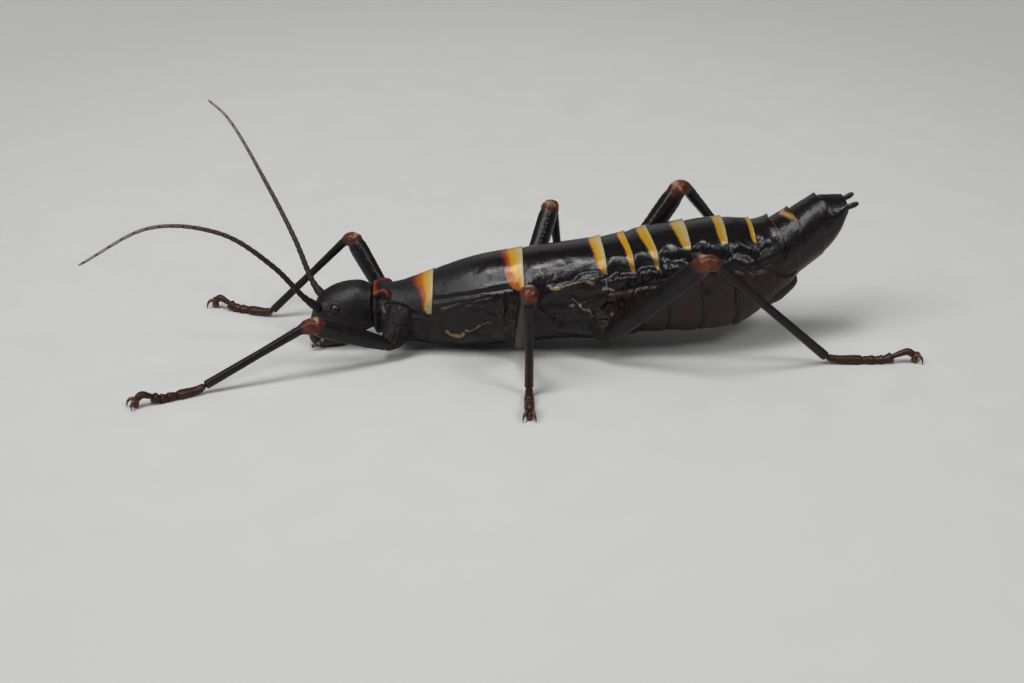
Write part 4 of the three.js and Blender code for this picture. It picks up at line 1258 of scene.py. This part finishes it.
class INSECT_OT_feet(bpy.types.Operator):
    """Adds the six feet, five joints each, with soft soles"""
    bl_idname = "insect.feet"
    bl_label = "Feet"

    # Where each joint of a foot ends, as a share of the foot's line.
    joint_ends = (0.0, 0.4, 0.53, 0.63, 0.735, 1.0)
    columns = 26

    def execute(self, context):
        under = hump(degrees_down(turns(self.columns)), 180, 50)
        for pair, side in LEGS:
            route, _, _ = foot_route(pair, side)
            shells = []
            for number, (start, end) in enumerate(zip(self.joint_ends, self.joint_ends[1:])):
                padded = number < 4  # the last joint has no sole pad
                first, last = (int(place * (FOOT_ROWS - 1)) for place in (start, end))
                line = route[first:last + 6]
                share = np.linspace(0, 1, len(line))
                along = share[:, None]
                width = (np.interp(share, [0, 0.15, 0.8, 1.0], [0.3, 0.37, 0.48, 0.44]) if padded
                         else np.interp(share, [0, 0.2, 0.7, 1.0], [0.22, 0.26, 0.36, 0.35]))
                width = width * np.sqrt(np.clip(1 - np.abs(2 * share - 1) ** 14, 0.1, 1))
                lobe = 1 + 0.22 * under * rise(along, 0.45, 0.95) * padded
                grid = tube(line, width, self.columns, lobe)
                grid = lift(grid, 0.02 * rough(grid, 0.3, 2, 51.0 + number))
                grid[..., 2] = np.maximum(grid[..., 2], FLOOR_GAP)
                sole, rim = under * (0.85 if padded else 0.5), 0.5 * rise(along, 0.9, 1.0)
                shells.append((grid, dict(foot=1.0, edge=np.maximum(sole, rim))))
            add_piece(f"foot_{side}_{pair}", satin_leg_cuticle, "foot_cuticle",
                      [f"leg_{side}_{pair}_tarsus"], *shells)
        return {"FINISHED"}


class INSECT_OT_claws(bpy.types.Operator):
    """Adds a pair of hooked claws and a soft pad at the end of each foot"""
    bl_idname = "insect.claws"
    bl_label = "Claws"

    # A claw's middle line: out from the foot's end, sideways and up.
    claw_line = ((-0.1, 0.08, 0.72), (0.35, 0.3, 1.12), (0.86, 0.55, 0.8), (0.74, 0.62, 0.05))

    def execute(self, context):
        thick = np.interp(np.linspace(0, 1, CURVE_STEPS), [0, 0.3, 0.8, 1],
                          [0.2, 0.19, 0.09, 0.02])
        for pair, side in LEGS:
            _, outward, root = foot_route(pair, side)
            sideways = np.cross((0.0, 0.0, 1.0), outward)

            def at(out, wide, height):
                return root * (1, 1, 0) + outward * out + sideways * wide + (0, 0, height)

            pad = ball(at(0.12, 0, 0.4), (0.36, 0.27, 0.4), 26, 28)
            pad[..., 2] = np.maximum(pad[..., 2], FLOOR_GAP)
            claws = (bezier(*(at(out, sign * wide, up) for out, wide, up in self.claw_line))
                     for sign in (-1, 1))
            add_piece(f"claws_{side}_{pair}", red_brown_claw_horn, "claw_horn",
                      [f"leg_{side}_{pair}_claws"], (pad, {}),
                      *((tube(line, thick, 16), {}) for line in claws))
        return {"FINISHED"}


# ---- Stage ----

CAMERA_PITCH = 22.0  # degrees down
CAMERA_DISTANCE = 200.0  # mm, from the point it looks at
CAMERA_AIM = (0.0, 0.0, 0.378)  # mm
CAMERA_LENS, CAMERA_SENSOR = 70.3125, 36.0  # mm
CAMERA_CLIP = (0.005, 20.0)  # nearest and furthest it sees, m
CONTRAST, EXPOSURE = 0.88, 0.07  # a camera's usual contrast; stops

FLOOR_REACH, FLOOR_CELLS = 1.5, 8  # m from its middle to each side; squares along it

# Large square lights, turned to face the model: the setting that holds the power,
# the size and the place, in mm.
SOFTBOXES = [("overhead", 170, (-80, -120, 560)), ("left", 520, (-500, -500, 706)),
             ("right", 250, (500, -500, 706)), ("rear", 700, (-150, 900, 520))]


class INSECT_OT_stage(bpy.types.Operator):
    """Adds the floor, the lights, the surroundings and the camera"""
    bl_idname = "insect.stage"
    bl_label = "Stage"

    def execute(self, context):
        scene, stage = context.scene, context.scene.insect_stage
        link = scene.collection.objects.link
        ticks = np.linspace(-FLOOR_REACH, FLOOR_REACH, FLOOR_CELLS + 1)
        points = [(x, y, 0.0) for y in ticks for x in ticks]
        corners = [row * (FLOOR_CELLS + 1) + column
                   for row in range(FLOOR_CELLS) for column in range(FLOOR_CELLS)]
        faces = [(c, c + 1, c + FLOOR_CELLS + 2, c + FLOOR_CELLS + 1) for c in corners]
        mesh = bpy.data.meshes.new("floor")
        mesh.from_pydata(points, [], faces)
        mesh.materials.append(finish(matt_white_card))
        floor = bpy.data.objects.new("floor", mesh)
        link(floor)

        for name, size, place in SOFTBOXES:
            data = bpy.data.lights.new(f"{name}_softbox", "AREA")
            data.energy, data.shape, data.size = getattr(stage, name), "SQUARE", size * MM
            light = bpy.data.objects.new(f"{name}_softbox", data)
            light.location = Vector(place) * MM
            light.rotation_euler = (-Vector(place)).to_track_quat("-Z", "Y").to_euler()
            link(light)
        scene.world = bpy.data.worlds.new("pale_room")
        scene.world.use_nodes = True
        scene.world.node_tree.nodes.clear()
        node = partial(add_node, scene.world.node_tree)
        # Looked at straight on, the room is brighter than the light it gives.
        glow = node("Math", [node("LightPath", ()), 0.45, stage.sky], **MULTIPLY_ADD)
        air = node("Background", {"Strength": glow, "Color": srgb("f2f2f2")})
        node("OutputWorld", {"Surface": air})
        scene.view_settings.view_transform = "Standard"
        scene.view_settings.gamma, scene.view_settings.exposure = CONTRAST, EXPOSURE

        pitch = math.radians(CAMERA_PITCH)
        forward = np.array([0.0, math.cos(pitch), -math.sin(pitch)])
        data = bpy.data.cameras.new("camera")
        data.lens, data.sensor_width = CAMERA_LENS, CAMERA_SENSOR
        data.clip_start, data.clip_end = CAMERA_CLIP
        camera = bpy.data.objects.new("camera", data)
        camera.location = (CAMERA_AIM - forward * CAMERA_DISTANCE + OFFSET * (1, 1, 0)) * MM
        camera.rotation_euler = (math.pi / 2 - pitch, 0.0, 0.0)
        link(camera)
        scene.camera = camera
        return {"FINISHED"}


# ---- Add-on ----

OPERATORS = (INSECT_OT_trunk, INSECT_OT_head, INSECT_OT_mouthparts, INSECT_OT_eyes,
             INSECT_OT_feelers, INSECT_OT_tail, INSECT_OT_legs, INSECT_OT_feet, INSECT_OT_claws,
             INSECT_OT_stage)


class VIEW3D_PT_insect(bpy.types.Panel):
    """Lists the pieces and their settings"""
    bl_label = "Stick insect"
    bl_space_type = "VIEW_3D"
    bl_region_type = "UI"
    bl_category = "Insect"

    def draw(self, context):
        for name, group in SETTINGS.items():
            box = self.layout.box()
            for setting in group.__annotations__:
                box.prop(getattr(context.scene, name), setting)
        for operator in OPERATORS:
            self.layout.operator(operator.bl_idname)


CLASSES = (*SETTINGS.values(), *OPERATORS, VIEW3D_PT_insect)


def register():
    for item in CLASSES:
        bpy.utils.register_class(item)
    for name, group in SETTINGS.items():
        setattr(bpy.types.Scene, name, PointerProperty(type=group))


def unregister():
    for name in SETTINGS:
        delattr(bpy.types.Scene, name)
    for item in reversed(CLASSES):
        bpy.utils.unregister_class(item)


def main():
    register()
    for operator in OPERATORS:
        group, name = operator.bl_idname.split(".")
        getattr(getattr(bpy.ops, group), name)()


if __name__ == "__main__":
    main()
